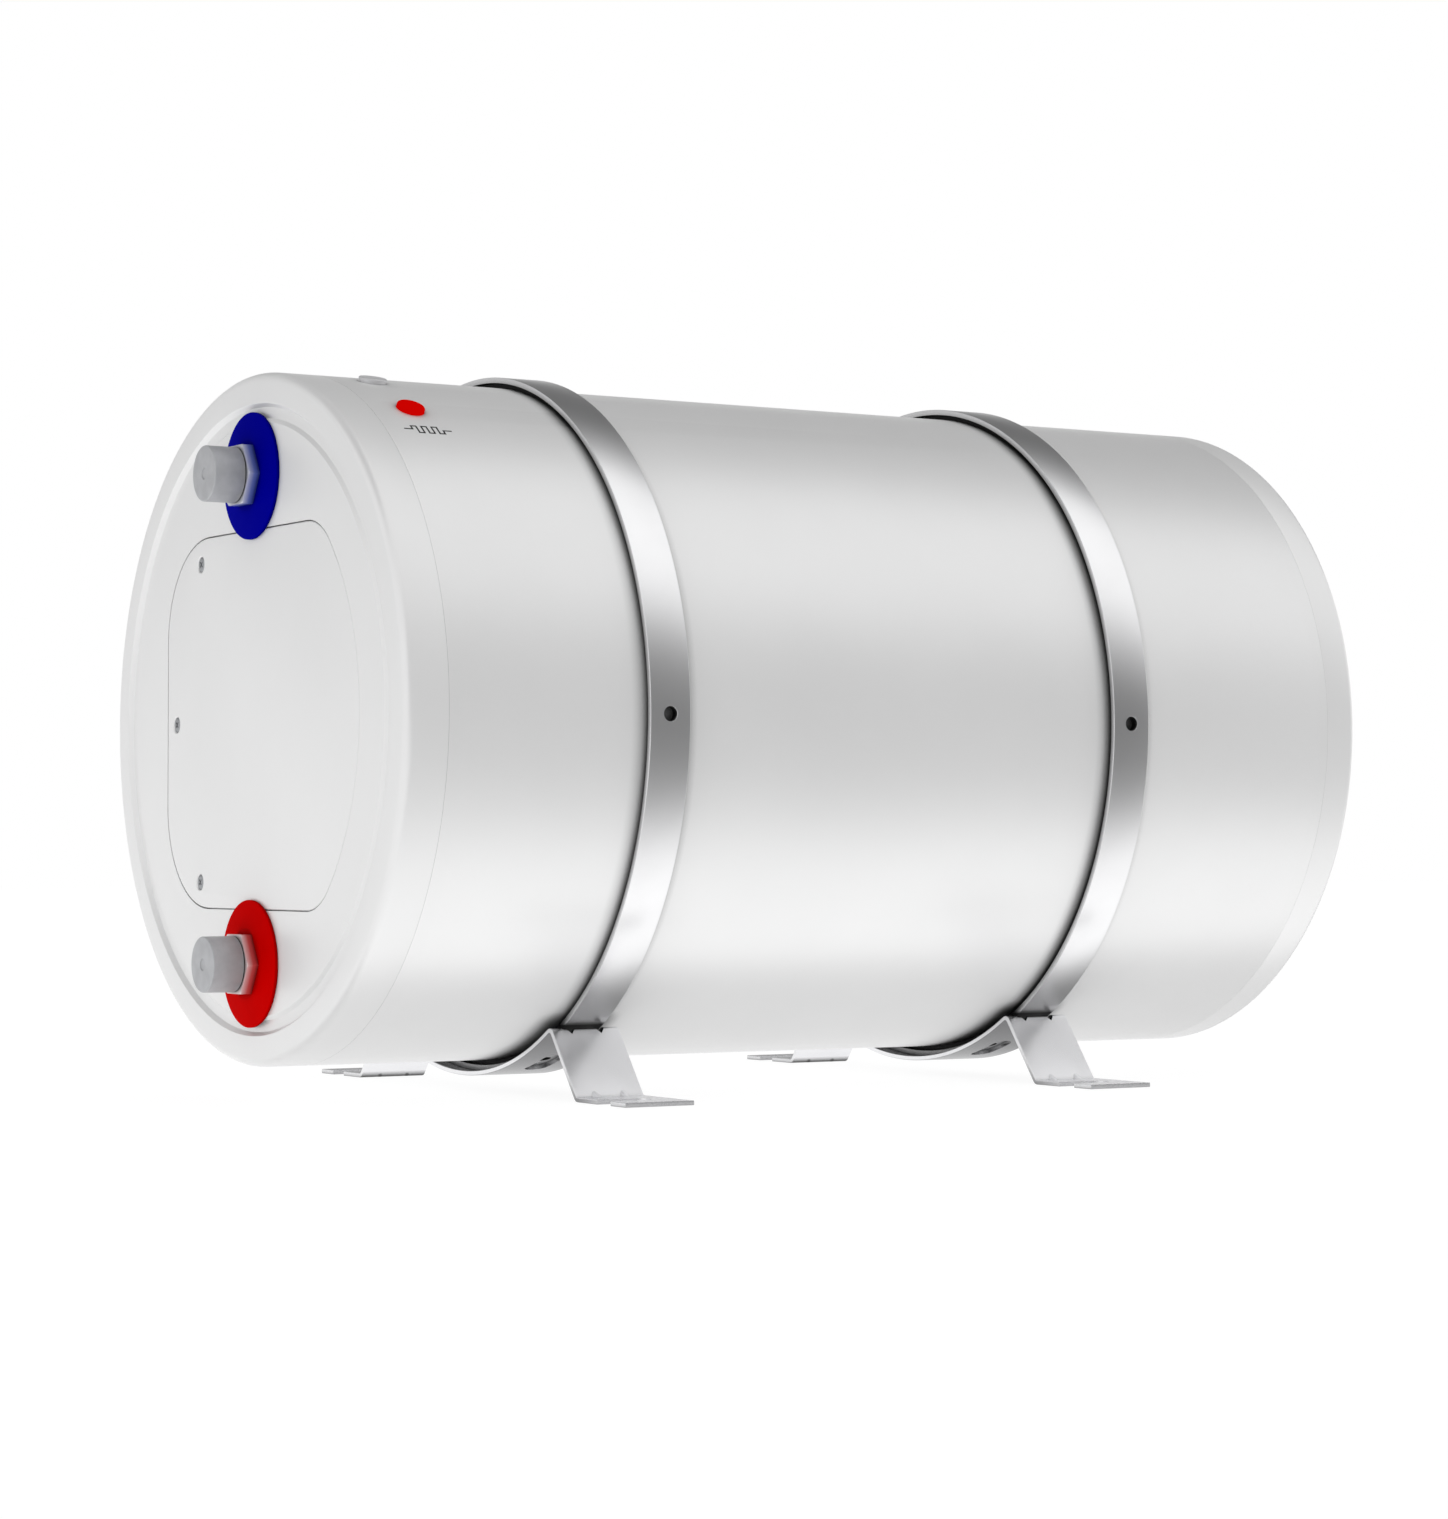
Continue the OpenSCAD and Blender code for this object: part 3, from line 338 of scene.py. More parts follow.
def circle(r, steps=48):
    """Points round the origin, without the first one again at the end."""
    return [ray(math.tau * k / steps, r) for k in range(steps)]


def block(x0, x1, y0, y1):
    """A rectangle's four corners, for a prism."""
    return [Vector((x0, y0)), Vector((x1, y0)), Vector((x1, y1)), Vector((x0, y1))]


def combine(obj, others, how="DIFFERENCE", smooth=35):
    """Cuts the other solids out of obj, or joins them to it, and removes them."""
    for other in others:
        mod = obj.modifiers.new("shape", "BOOLEAN")
        mod.operation = how
        mod.solver = "EXACT"
        mod.object = other
        bpy.context.view_layer.update()
        mesh = bpy.data.meshes.new_from_object(obj.evaluated_get(bpy.context.evaluated_depsgraph_get()))
        obj.modifiers.clear()
        old, obj.data = obj.data, mesh
        bpy.data.meshes.remove(old)
        bpy.data.objects.remove(other)
    tidy_normals(obj, smooth, mend=True)
    return obj


def dress(obj, material, body="heater", nodes=()):
    """Gives a piece its finish and its place in the frame."""
    obj.data.materials.clear()
    obj.data.materials.append(material)
    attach(obj, body)
    if nodes:
        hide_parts(*nodes)
    return obj


# Materials

SHADED = 0.02  # what is left of a colour in the deepest painted shade


def linear(value):
    """An sRGB hex colour as the linear RGBA that the shaders work in."""
    parts = [int(value[i:i + 2], 16) / 255 for i in (1, 3, 5)]
    return tuple(c / 12.92 if c <= 0.04045 else ((c + 0.055) / 1.055) ** 2.4 for c in parts) + (1.0,)


def shade(value, factor):
    """The same sRGB hex colour, lighter or darker by a factor."""
    return "#" + "".join("%02X" % min(255, round(int(value[i:i + 2], 16) * factor)) for i in (1, 3, 5))


def add(tree, kind, settings=None, links=None):
    """Adds a node. A setting or a link is named by the input's name or number, or by the node's attribute."""
    node = tree.nodes.new(kind)
    for key, value in (settings or {}).items():
        if isinstance(key, int) or key in node.inputs:
            node.inputs[key].default_value = value
        else:
            setattr(node, key, value)
    for key, socket in (links or {}).items():
        tree.links.new(socket, node.inputs[key])
    return node


def surface(name, settings):
    """A new material with one Principled shader.

    Returns the material, its tree, the shader and the object coordinates.
    """
    mat = bpy.data.materials.new(name)
    mat.use_nodes = True
    tree = mat.node_tree
    tree.nodes.clear()
    shader = add(tree, "ShaderNodeBsdfPrincipled", settings)
    add(tree, "ShaderNodeOutputMaterial", None, {"Surface": shader.outputs[0]})
    place = add(tree, "ShaderNodeTexCoord").outputs["Object"]
    return mat, tree, shader, place


def grain(tree, shader, place, size, depth, detail=2.0, stretch=(1, 1, 1)):
    """Fine relief of a finish: size is the grain's real width and depth its height, in metres."""
    scaled = add(tree, "ShaderNodeMapping", {"Scale": stretch}, {"Vector": place})
    noise = add(tree, "ShaderNodeTexNoise", {"Scale": 1 / size, "Detail": detail},
                {"Vector": scaled.outputs[0]})
    bump = add(tree, "ShaderNodeBump", {"Strength": 1.0, "Distance": depth}, {"Height": noise.outputs[0]})
    tree.links.new(bump.outputs[0], shader.inputs["Normal"])


def tint(tree, shader, place, size, dark, light):
    """Slow colour drift of a finish between two hex colours: size is its real width in metres."""
    noise = add(tree, "ShaderNodeTexNoise", {"Scale": 1 / size, "Detail": 3.0}, {"Vector": place})
    ramp = add(tree, "ShaderNodeValToRGB", None, {"Fac": noise.outputs[0]})
    for stop, where, colour in zip(ramp.color_ramp.elements, (0.35, 0.65), (dark, light)):
        stop.position, stop.color = where, linear(colour)
    tree.links.new(ramp.outputs[0], shader.inputs["Base Color"])
    return ramp


def crevice(tree, shader, colour, reach, low=0.25, high=0.8):
    """Paints shade into a colour node: darker in gaps and inner corners, by ambient occlusion.

    reach is how far it looks for a neighbour, in metres. It is darkest where the surface is less open
    than low, and leaves the colour alone where it is more open than high.
    """
    gap = add(tree, "ShaderNodeAmbientOcclusion", {"samples": 8, "Distance": reach})
    light = add(tree, "ShaderNodeMapRange", {"From Min": low, "From Max": high, "To Min": SHADED},
                {"Value": gap.outputs["AO"]})
    shaded = add(tree, "ShaderNodeVectorMath", {"operation": "SCALE"},
                 {"Vector": colour.outputs[0], "Scale": light.outputs[0]})
    tree.links.new(shaded.outputs[0], shader.inputs["Base Color"])


def powder_coated_steel(colour):
    # White powder coat baked on sheet steel: satin, with the faint orange peel of a sprayed skin.
    mat, tree, shader, place = surface("powder_coated_steel", {"Metallic": 0.29, "Roughness": 0.34})
    coat = tint(tree, shader, place, 60 * MM, shade(colour, 0.99), colour)
    # Painted shade: the coat is darker beside the straps, saddles, button and lamp, by ambient occlusion.
    crevice(tree, shader, coat, 7 * MM, 0.17, 1.0)
    grain(tree, shader, place, 1.6 * MM, 0.004 * MM)
    return mat


def moulded_abs(name, colour):
    # White ABS from a lightly eroded mould: satin, a little grainier than the coated steel.
    mat, tree, shader, place = surface(name, {"Metallic": 0.28, "Roughness": 0.38})
    skin_colour = tint(tree, shader, place, 80 * MM, shade(colour, 0.99), colour)
    # Painted shade: darker in the channel, in the cover's groove and round the washers.
    crevice(tree, shader, skin_colour, 1 * MM, -0.8, 0.6)
    grain(tree, shader, place, 0.5 * MM, 0.004 * MM)
    return mat


def nylon_nut(name, low, middle, high):
    # White moulded nylon. Towards its base the colour is painted blue or red: a painted reflection of the
    # washer under it.
    mat, tree, shader, place = surface(name, {"Metallic": 0.35, "Roughness": 0.3})
    scene = bpy.context.scene
    fit = scene.heater_fittings
    base = scene.heater_body.front_x + scene.heater_face.panel_drop - fit.washer_hub
    along = add(tree, "ShaderNodeSeparateXYZ", None, {"Vector": place})
    height = add(tree, "ShaderNodeMapRange", {"From Min": base, "From Max": base - fit.nut_t},
                 {"Value": along.outputs["X"]})
    ramp = add(tree, "ShaderNodeValToRGB", None, {"Fac": height.outputs[0]})
    ramp.color_ramp.elements.new(0.45)
    for stop, colour in zip(ramp.color_ramp.elements, (low, middle, high)):
        stop.color = linear(colour)
    # Painted shade: darker where the nut meets its washer and the transit cap.
    crevice(tree, shader, ramp, 2.5 * MM)
    grain(tree, shader, place, 0.6 * MM, 0.002 * MM)
    return mat


def coloured_washer(name, colour):
    # Coloured polypropylene, moulded matt: a deep even colour with hardly any gloss.
    mat, tree, shader, place = surface(name, {"Metallic": 0.06, "Roughness": 0.5, "Specular IOR Level": 0.0})
    dye = tint(tree, shader, place, 12 * MM, shade(colour, 0.98), colour)
    # Painted shade: the washer is darker round the nut's base.
    crevice(tree, shader, dye, 9 * MM, -0.1, 0.9)
    grain(tree, shader, place, 0.6 * MM, 0.006 * MM)
    return mat


def grey_polythene(colour):
    # Soft grey polythene, moulded: dull and slightly waxy, with a fine die finish.
    mat, tree, shader, place = surface("moulded_polythene", {"Metallic": 0.35, "Roughness": 0.5})
    wax = tint(tree, shader, place, 6 * MM, shade(colour, 0.97), shade(colour, 1.02))
    # Painted shade: the cap's side grows darker towards the nut and the panel behind it.
    crevice(tree, shader, wax, 25 * MM, 0.1, 1.0)
    grain(tree, shader, place, 0.5 * MM, 0.006 * MM)
    return mat


def lit_lens(colour):
    # Red polycarbonate lens with its lamp on: a saturated red that glows a little on the coat beside it.
    mat, tree, shader, place = surface("lit_polycarbonate", {
        "Roughness": 0.3, "Specular IOR Level": 0.0,
        "Emission Color": linear("#FF0500"), "Emission Strength": 0.54})
    tint(tree, shader, place, 10 * MM, shade(colour, 0.98), colour)
    grain(tree, shader, place, 1.2 * MM, 0.004 * MM)
    return mat


def ridge_height():
    """Height over the floor of the saddle's ridges, where the strap goes into the saddle."""
    body, bracket = bpy.context.scene.heater_body, bpy.context.scene.heater_brackets
    centre = body.shell_d / 2 + bracket.liner_t + bracket.strap_t + bracket.bend_r
    return body.axis_height - centre * math.cos(bracket.saddle_angle) + bracket.bend_r


def rolled_stainless(name, colour, roughness, reach, low, in_slot=False):
    # Cold rolled stainless strip: bright satin, with fine rolling lines that run along the strip.
    mat, tree, shader, place = surface(name, {"Metallic": 1.0, "Roughness": roughness})
    strip = tint(tree, shader, place, 30 * MM, shade(colour, 0.985), colour)
    if in_slot:
        # Painted shade where the strap goes into the saddle's slot and on the first two millimetres above it:
        # a dark band set by height.
        ridge = ridge_height()
        height = add(tree, "ShaderNodeSeparateXYZ", None, {"Vector": place}).outputs["Z"]
        above = add(tree, "ShaderNodeMapRange",
                    {"From Min": ridge + 1.1 * MM, "From Max": ridge + 2.6 * MM, "To Min": SHADED},
                    {"Value": height})
        below = add(tree, "ShaderNodeMapRange",
                    {"From Min": ridge - 3 * MM, "From Max": ridge - 5 * MM, "To Min": SHADED},
                    {"Value": height})
        clean = add(tree, "ShaderNodeMath", {"operation": "MAXIMUM"},
                    {0: above.outputs[0], 1: below.outputs[0]})
        strip = add(tree, "ShaderNodeVectorMath", {"operation": "SCALE"},
                    {"Vector": strip.outputs[0], "Scale": clean.outputs[0]})
    # Painted shade: darker at the strap's edges beside the shell and in the saddle's bends and ribs.
    crevice(tree, shader, strip, reach, low, 0.92)
    grain(tree, shader, place, 0.35 * MM, 0.0012 * MM, 3.0, (1.0, 0.06, 0.06))
    return mat


def drawn_metal(name, colour, roughness, line=0.4 * MM):
    # Turned or drawn metal of the inside: satin, with fine tool lines.
    mat, tree, shader, place = surface(name, {"Metallic": 1.0, "Roughness": roughness})
    tint(tree, shader, place, 20 * MM, shade(colour, 0.93), colour)
    grain(tree, shader, place, line, 0.003 * MM, 3.0, (0.1, 1.0, 1.0))
    return mat


def rubber():
    # Extruded black EPDM: matt, very dark grey, with a dusty bloom.
    mat, tree, shader, place = surface("extruded_epdm", {"Roughness": 0.72, "Specular IOR Level": 0.35})
    tint(tree, shader, place, 12 * MM, "#1B1B1C", "#262627")
    grain(tree, shader, place, 0.7 * MM, 0.02 * MM)
    return mat


def moulded(name, dark, light, roughness):
    # Moulded technical plastic of the inside, with a fine eroded skin.
    mat, tree, shader, place = surface(name, {"Roughness": roughness})
    tint(tree, shader, place, 10 * MM, dark, light)
    grain(tree, shader, place, 0.4 * MM, 0.008 * MM)
    return mat


def foam():
    # Poured polyurethane foam: yellowish, open pores of about a millimetre.
    mat, tree, shader, place = surface("poured_foam", {"Roughness": 0.9, "Specular IOR Level": 0.2})
    tint(tree, shader, place, 20 * MM, "#D9C68A", "#EBDCA6")
    grain(tree, shader, place, 1.3 * MM, 0.3 * MM, 4.0)
    return mat


def black_print(colour):
    # Pad printed ink: thin, matt, dark grey rather than black.
    mat, tree, shader, place = surface("pad_print_ink", {"Roughness": 0.6, "Specular IOR Level": 0.2})
    tint(tree, shader, place, 2 * MM, shade(colour, 0.9), colour)
    return mat


FINISH = {}


def make_finishes():
    """Fills FINISH: one material for each slot of the record, and a few more for pieces made here."""
    colours = bpy.context.scene.heater_colours
    FINISH.update({
        "white_steel": powder_coated_steel(colours.shell),
        "white_plastic": moulded_abs("moulded_abs", colours.caps),
        "grey_button": moulded_abs("moulded_abs_button", colours.button),
        "white_nut": nylon_nut("nylon_over_blue", "#2C4094", "#6C7CBC", "#CFD1DD"),
        "white_nut_over_red": nylon_nut("nylon_over_red", "#B22626", "#C85C5C", "#E4D0D0"),
        "blue_plastic": coloured_washer("blue_polypropylene", colours.cold),
        "red_plastic": coloured_washer("red_polypropylene", colours.hot),
        "grey_plastic": grey_polythene(colours.transit),
        "red_lens": lit_lens(colours.lamp),
        "stainless_band": rolled_stainless("rolled_stainless_strap", colours.band, 0.3, 8 * MM, 0.3,
                                           in_slot=True),
        "stainless_sheet": rolled_stainless("pressed_stainless_sheet", colours.sheet, 0.26, 3 * MM, 0.12),
        "rubber": rubber(),
        "stainless_tank": drawn_metal("pickled_stainless", "#C9CBCE", 0.42, 0.7 * MM),
        "nipple_steel": drawn_metal("turned_stainless", "#D2D3D5", 0.3),
        "screw_steel": drawn_metal("zinc_plated_steel", "#A6A8AB", 0.4),
        "foam": foam(),
        "copper_element": drawn_metal("tinned_copper_tube", "#C68B5B", 0.34),
        "anode_metal": drawn_metal("cast_magnesium", "#A8A8A4", 0.6, 1.2 * MM),
        "black_plastic": moulded("moulded_polyamide", "#1D1D1E", "#2A2A2B", 0.5),
        "cream_plastic": moulded("moulded_steatite", "#E3E0D2", "#EFECE0", 0.45),
        "lead_cover": moulded("extruded_silicone", "#9E1E1A", "#B32822", 0.45),
        "print": black_print(colours.print),
    })


# Outlines that several pieces share

def cap_points(skirt, edge, face, back):
    """Half section of an end cap, (radius, depth): face is its front surface from the axis out to the rim."""
    body = bpy.context.scene.heater_body
    r = body.shell_d / 2
    inner = r - body.cap_wall
    plug = r - body.shell_wall - 0.1 * MM
    shoulder, step = r - 0.12 * MM, skirt + 0.7 * body.seam
    return face + [(r, 0, edge), (r, skirt, 0.04 * MM), (shoulder, skirt), (shoulder, step), (plug, step),
                   (plug, skirt + body.spigot, 0.4 * MM), (inner, skirt + body.spigot),
                   (inner, back, 1.0 * MM), (0, back)]


def cover_loop(inset=0.0, count=16):
    """The service cover's outline: a round near side, a straight far side and four round corners."""
    face = bpy.context.scene.heater_face
    r, h, f = face.cover_near - inset, face.cover_half - inset, face.cover_far - inset
    rn, rf = face.near_corner - inset, face.far_corner - inset
    near = Vector((-math.sqrt((r - rn) ** 2 - (h - rn) ** 2), h - rn))
    turn = math.atan2(near.y, near.x)
    points = arc((f - rf, h - rf), rf, 0, math.pi / 2, count)
    points += arc(near, rn, math.pi / 2, turn, count)
    points += arc((0, 0), r, turn, 2 * math.pi - turn, count * 4)[1:-1]
    points += arc((near.x, -near.y), rn, 2 * math.pi - turn, 1.5 * math.pi, count)
    points += arc((f - rf, rf - h), rf, 1.5 * math.pi, 2 * math.pi, count)
    return points


def cover_screws_at():
    """The three screws of the cover, near its straight side."""
    face = bpy.context.scene.heater_face
    column, edge, side = 36.2 * MM, 11.3 * MM, 9.7 * MM
    return [Vector((face.cover_far - column, face.cover_half - edge)),
            Vector((face.cover_far - side, 0)),
            Vector((face.cover_far - column, edge - face.cover_half))]


def strap_places():
    """Front and rear, and how far each strap is from the front."""
    bracket = bpy.context.scene.heater_brackets
    return (("front", bracket.front_overhang), ("rear", bracket.front_overhang + bracket.strap_spacing))


class HEATER_OT_finishes(bpy.types.Operator):
    """Makes every finish and gives them to the frame's own nodes"""
    bl_idname = "heater.finishes"
    bl_label = "Finishes"

    def execute(self, context):
        make_finishes()
        slots = {m["slot"]: m.get("nodes", []) for m in frame["record"]["materials"]}
        for slot, nodes in slots.items():
            for name in nodes:
                obj = frame["nodes"][name]
                obj.data.materials.clear()
                obj.data.materials.append(FINISH[slot])
        return {"FINISHED"}


class HEATER_OT_shell(bpy.types.Operator):
    """Rolled shell with its openings"""
    bl_idname = "heater.shell"
    bl_label = "Shell"

    def execute(self, context):
        scene = context.scene
        body, fit = scene.heater_body, scene.heater_fittings
        r, ri = body.shell_d / 2, body.shell_d / 2 - body.shell_wall
        low = body.front_skirt + body.seam / 2
        high = body.body_length - body.rear_skirt - body.seam / 2
        edge = 0.03 * MM
        shell = lathe("shell", rounded([(r, low, edge), (r, high, edge), (ri, high), (ri, low)], 3),
                      tank_at(), scene.heater_studio.steps)
        hole = circle(fit.control_d / 2 + 0.12 * MM, 64)
        cuts = [prism("cut", loop, -THROUGH, THROUGH, radial_at(x, angle, r)) for loop, x, angle in
                ((hole, fit.control_x, fit.button_angle), (hole, fit.control_x, fit.lamp_angle),
                 (circle(fit.entry_d / 2), fit.entry_x, fit.entry_angle))]
        combine(shell, cuts)
        dress(shell, FINISH["white_steel"], nodes=["outer_shell"])
        return {"FINISHED"}


class HEATER_OT_caps(bpy.types.Operator):
    """Moulded front and rear caps"""
    bl_idname = "heater.caps"
    bl_label = "End caps"

    def execute(self, context):
        scene = context.scene
        body, face, fit = scene.heater_body, scene.heater_face, scene.heater_fittings
        r = body.shell_d / 2
        rim = r - face.rim_width
        panel = rim - face.channel_width
        soft = 0.4 * MM
        front_face = [(0, face.panel_drop), (panel, face.panel_drop, soft),
                      (panel + face.channel_slope, face.channel_depth, soft),
                      (rim - face.channel_slope, face.channel_depth, soft), (rim, 0, soft)]
        back = face.channel_depth + body.cap_wall
        outline = rounded(cap_points(body.front_skirt - body.seam / 2, body.front_edge, front_face, back), 6)
        front = lathe("front_end_cap", outline, tank_at(), scene.heater_studio.steps)
        seat = face.panel_drop + face.cover_t + face.gasket_t
        cuts = [prism("cut", cover_loop(-face.cover_gap), -1 * MM, seat, tank_at()),
                prism("cut", cover_loop(face.ledge), -1 * MM, THROUGH, tank_at())]
        for s in (-1, 1):
            cuts.append(prism("cut", circle(fit.thread_d / 2 + 0.4 * MM), -THROUGH, THROUGH,
                              tank_at(z=s * fit.port_spacing / 2)))
        combine(front, cuts)
        for how, loop, low, high in (("UNION", circle(5 * MM), -0.1 * MM, 10.5 * MM),
                                     ("DIFFERENCE", circle(1.5 * MM, 24), -2 * MM, 9 * MM)):
            combine(front, [prism("boss", loop, seat + low, seat + high, at_point(tank_at(), p))
                            for p in cover_screws_at()], how)
        dress(front, FINISH["white_plastic"], nodes=["front_cap"])

        section = cap_points(body.rear_skirt - body.seam / 2, body.rear_edge, [(0, 0)], body.cap_wall)
        flip = tank_at(body.body_length) @ Matrix.Diagonal((1, 1, -1, 1))
        rear = lathe("rear_end_cap", rounded(section, 6), flip, scene.heater_studio.steps)
        dress(rear, FINISH["white_plastic"], nodes=["rear_cap"])
        return {"FINISHED"}


class HEATER_OT_cover(bpy.types.Operator):
    """Service cover with its screws"""
    bl_idname = "heater.cover"
    bl_label = "Service cover"

    def hooks(self, face, back):
        """Two tabs on the near side that reach behind the ledge: each is a web with a toe."""
        web = -math.sqrt((face.cover_near - face.ledge) ** 2 - (22 * MM) ** 2) + 1 * MM
        ledge = face.channel_depth + 3 * MM - back
        half = 8 * MM
        hooks = []
        for s in (-1, 1):
            y = s * face.hook_spacing / 2
            for x0, x1, z0 in ((0, 2 * MM, 0), (-5 * MM, 1 * MM, ledge + 0.3 * MM)):
                hooks.append(prism("hook", block(web + x0, web + x1, y - half, y + half),
                                   back + z0 - 0.05 * MM, back + ledge + 2.3 * MM, tank_at()))
        return hooks

    def screw(self, name, face, at):
        """A countersunk screw with a cross recess."""
        head, shank, end = face.head_d / 2, face.shank_d / 2, face.screw_length
        outline = [(0, 0), (0.8 * head, 0, 0.3 * MM), (head, 0.4 * MM, 0.1 * MM), (head, 0.8 * MM),
                   (shank, 0.8 * MM), (shank, end, 0.5 * MM), (0, end)]
        screw = lathe(name, rounded(outline, 4), at, 48)
        cross = block(-1.7 * MM, 1.7 * MM, -0.32 * MM, 0.32 * MM)
        return combine(screw, [prism("cut", cross, -1 * MM, 0.45 * MM, at @ Matrix.Rotation(a, 4, "Z"))
                               for a in (math.pi / 4, math.pi * 3 / 4)])

    def execute(self, context):
        face = context.scene.heater_face
        front, back, soft = face.panel_drop, face.panel_drop + face.cover_t, 0.5 * MM
        rings = [[Vector((*p, back)) for p in cover_loop(0)]]
        for k in range(6):
            a = math.pi / 2 * k / 5
            inset = soft * (1 - math.cos(a))
            rings.append([Vector((*p, front + soft * (1 - math.sin(a)))) for p in cover_loop(inset)])
        cover = skin("cover_plate", rings, tank_at())
        recess, lip, deep = face.recess_d / 2, 0.5 * MM, 1 * MM
        bowl = rounded([(0, -deep), (recess + lip, -deep), (recess + lip, 0), (recess, lip, 0.2 * MM),
                        (recess, deep, 0.3 * MM), (0, deep)], 4)
        cuts = []
        for p in cover_screws_at():
            cuts.append(lathe("cut", bowl, at_point(tank_at(), p, front), 48))
            cuts.append(prism("cut", circle(1.8 * MM, 24), 0, THROUGH, at_point(tank_at(), p)))
        combine(cover, cuts)
        combine(cover, self.hooks(face, back), "UNION")
        dress(cover, FINISH["white_plastic"], nodes=["service_cover"])
        for i, p in enumerate(cover_screws_at()):
            dress(self.screw("cover_screw_%d" % (i + 1), face, at_point(tank_at(), p, front + 0.2 * MM)),
                  FINISH["screw_steel"], nodes=["cover_screws"] if i == 0 else ())
        return {"FINISHED"}


class HEATER_OT_connections(bpy.types.Operator):
    """Threaded connections with their washers, nuts and transit caps"""
    bl_idname = "heater.connections"
    bl_label = "Water connections"

    def washer(self, fit):
        """Half section of a coloured washer, which thickens towards the nut."""
        r, hub = fit.washer_d / 2, fit.nut_flats / 2 / math.cos(math.pi / 6) + 0.6 * MM
        bore = fit.thread_d / 2 + 0.3 * MM
        return rounded([(bore, 0), (r, 0, 0.4 * MM), (r, -fit.washer_rim, 0.5 * MM),
                        (hub, -fit.washer_hub, 1.5 * MM), (bore, -fit.washer_hub)], 5)

    def nipple(self, name, at, fit, start, end):
        """A real helical thread on the free length, then a plain shank, bored through."""
        # Flanks of about 60 degrees with flats on crest and root, which run in and out at both ends.
        steps, rows, pitch, length = 60, 12, fit.thread_pitch, 22 * MM
        crest, bore = fit.thread_d / 2, fit.port_bore / 2
        root, shank = crest - 0.64 * pitch, crest - 0.1 * MM

        def ring(z, radii):
            return [Vector((*ray(math.tau * k / steps, r), z)) for k, r in enumerate(radii)]

        rings = [ring(start, [bore] * steps), ring(start, [root - 0.2 * MM] * steps)]
        count = int(length / pitch * rows)
        for i in range(count):
            z = start + 0.15 * MM + i * pitch / rows
            lead = min(1.0, (z - start) / (1.2 * MM), (count - i) / rows)
            phases = [((z - start) / pitch - k / steps) % 1.0 for k in range(steps)]
            flanks = [min(1.0, max(0.0, 2.6 * (0.5 - abs(phase - 0.5)) - 0.15)) for phase in phases]
            rings.append(ring(z, [root + (crest - root) * lead * flank for flank in flanks]))
        for r, z in ((shank, start + length + 0.6 * MM), (shank, end), (bore, end)):
            rings.append(ring(z, [r] * steps))
        return skin(name, rings, at, closed=True, smooth=50)

    def nut(self, name, at, fit):
        """A thin hexagon nut with turned corners."""
        corner = fit.nut_flats / 2 / math.cos(math.pi / 6)
        hexagon = rounded([(*ray(math.tau * k / 6, corner), 0.8 * MM) for k in range(6)], 4)
        nut = prism(name, hexagon, 0, fit.nut_t, at)
        wide, behind = corner + 0.3 * MM, fit.nut_t + 1 * MM
        turned = rounded([(0, 0), (corner - 0.7 * MM, 0, 0.3 * MM), (wide, 0.6 * MM), (wide, behind),
                          (0, behind)], 4)
        combine(nut, [lathe("turned", turned, at, 96)], "INTERSECT")
        hole = circle(fit.thread_d / 2 + 0.03 * MM, 64)
        return combine(nut, [prism("cut", hole, -THROUGH, THROUGH, at)], smooth=28)

    def transit_cap(self, name, at, fit):
        """A hollow push-on cap, with the shallow dimple of its moulding gate."""
        r, length, end, dimple = fit.plug_d / 2, fit.plug_length, 2.2 * MM, 0.4 * MM
        inner = fit.thread_d / 2 + 0.08 * MM
        outline = [(0, dimple), (2.3 * MM, dimple, 0.3 * MM), (2.7 * MM, 0, 0.25 * MM), (r, 0, 0.6 * MM),
                   (r, length, 0.2 * MM), (inner, length, 0.3 * MM), (inner, end, 0.3 * MM), (0, end)]
        return lathe(name, rounded(outline, 6), at, 128)

    def execute(self, context):
        scene = context.scene
        face, fit = scene.heater_face, scene.heater_fittings
        nut_front = face.panel_drop - fit.washer_hub - fit.nut_t
        cap_front = nut_front - 0.3 * MM - fit.plug_length
        tip = cap_front + 2.5 * MM
        for side, s, plastic, nut_finish in (("cold", 1, "blue_plastic", "white_nut"),
                                             ("hot", -1, "red_plastic", "white_nut_over_red")):
            z = s * fit.port_spacing / 2
            disc = lathe(side + "_washer_disc", self.washer(fit), tank_at(face.panel_drop, z=z), 160)
            dress(disc, FINISH[plastic], nodes=[side + "_washer"])
            nut = self.nut(side + "_lock_nut", tank_at(nut_front, z=z), fit)
            dress(nut, FINISH[nut_finish], nodes=[side + "_nut"])
            inner_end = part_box(side + "_nipple")[1][0] - scene.heater_body.front_x
            nipple = self.nipple(side + "_thread", tank_at(z=z), fit, tip, inner_end)
            dress(nipple, FINISH["nipple_steel"], nodes=[side + "_nipple"])
            cap = self.transit_cap(side + "_transit_cap", tank_at(cap_front, z=z), fit)
            dress(cap, FINISH["grey_plastic"], body=side + "_cap", nodes=[side + "_cap"])
        return {"FINISHED"}


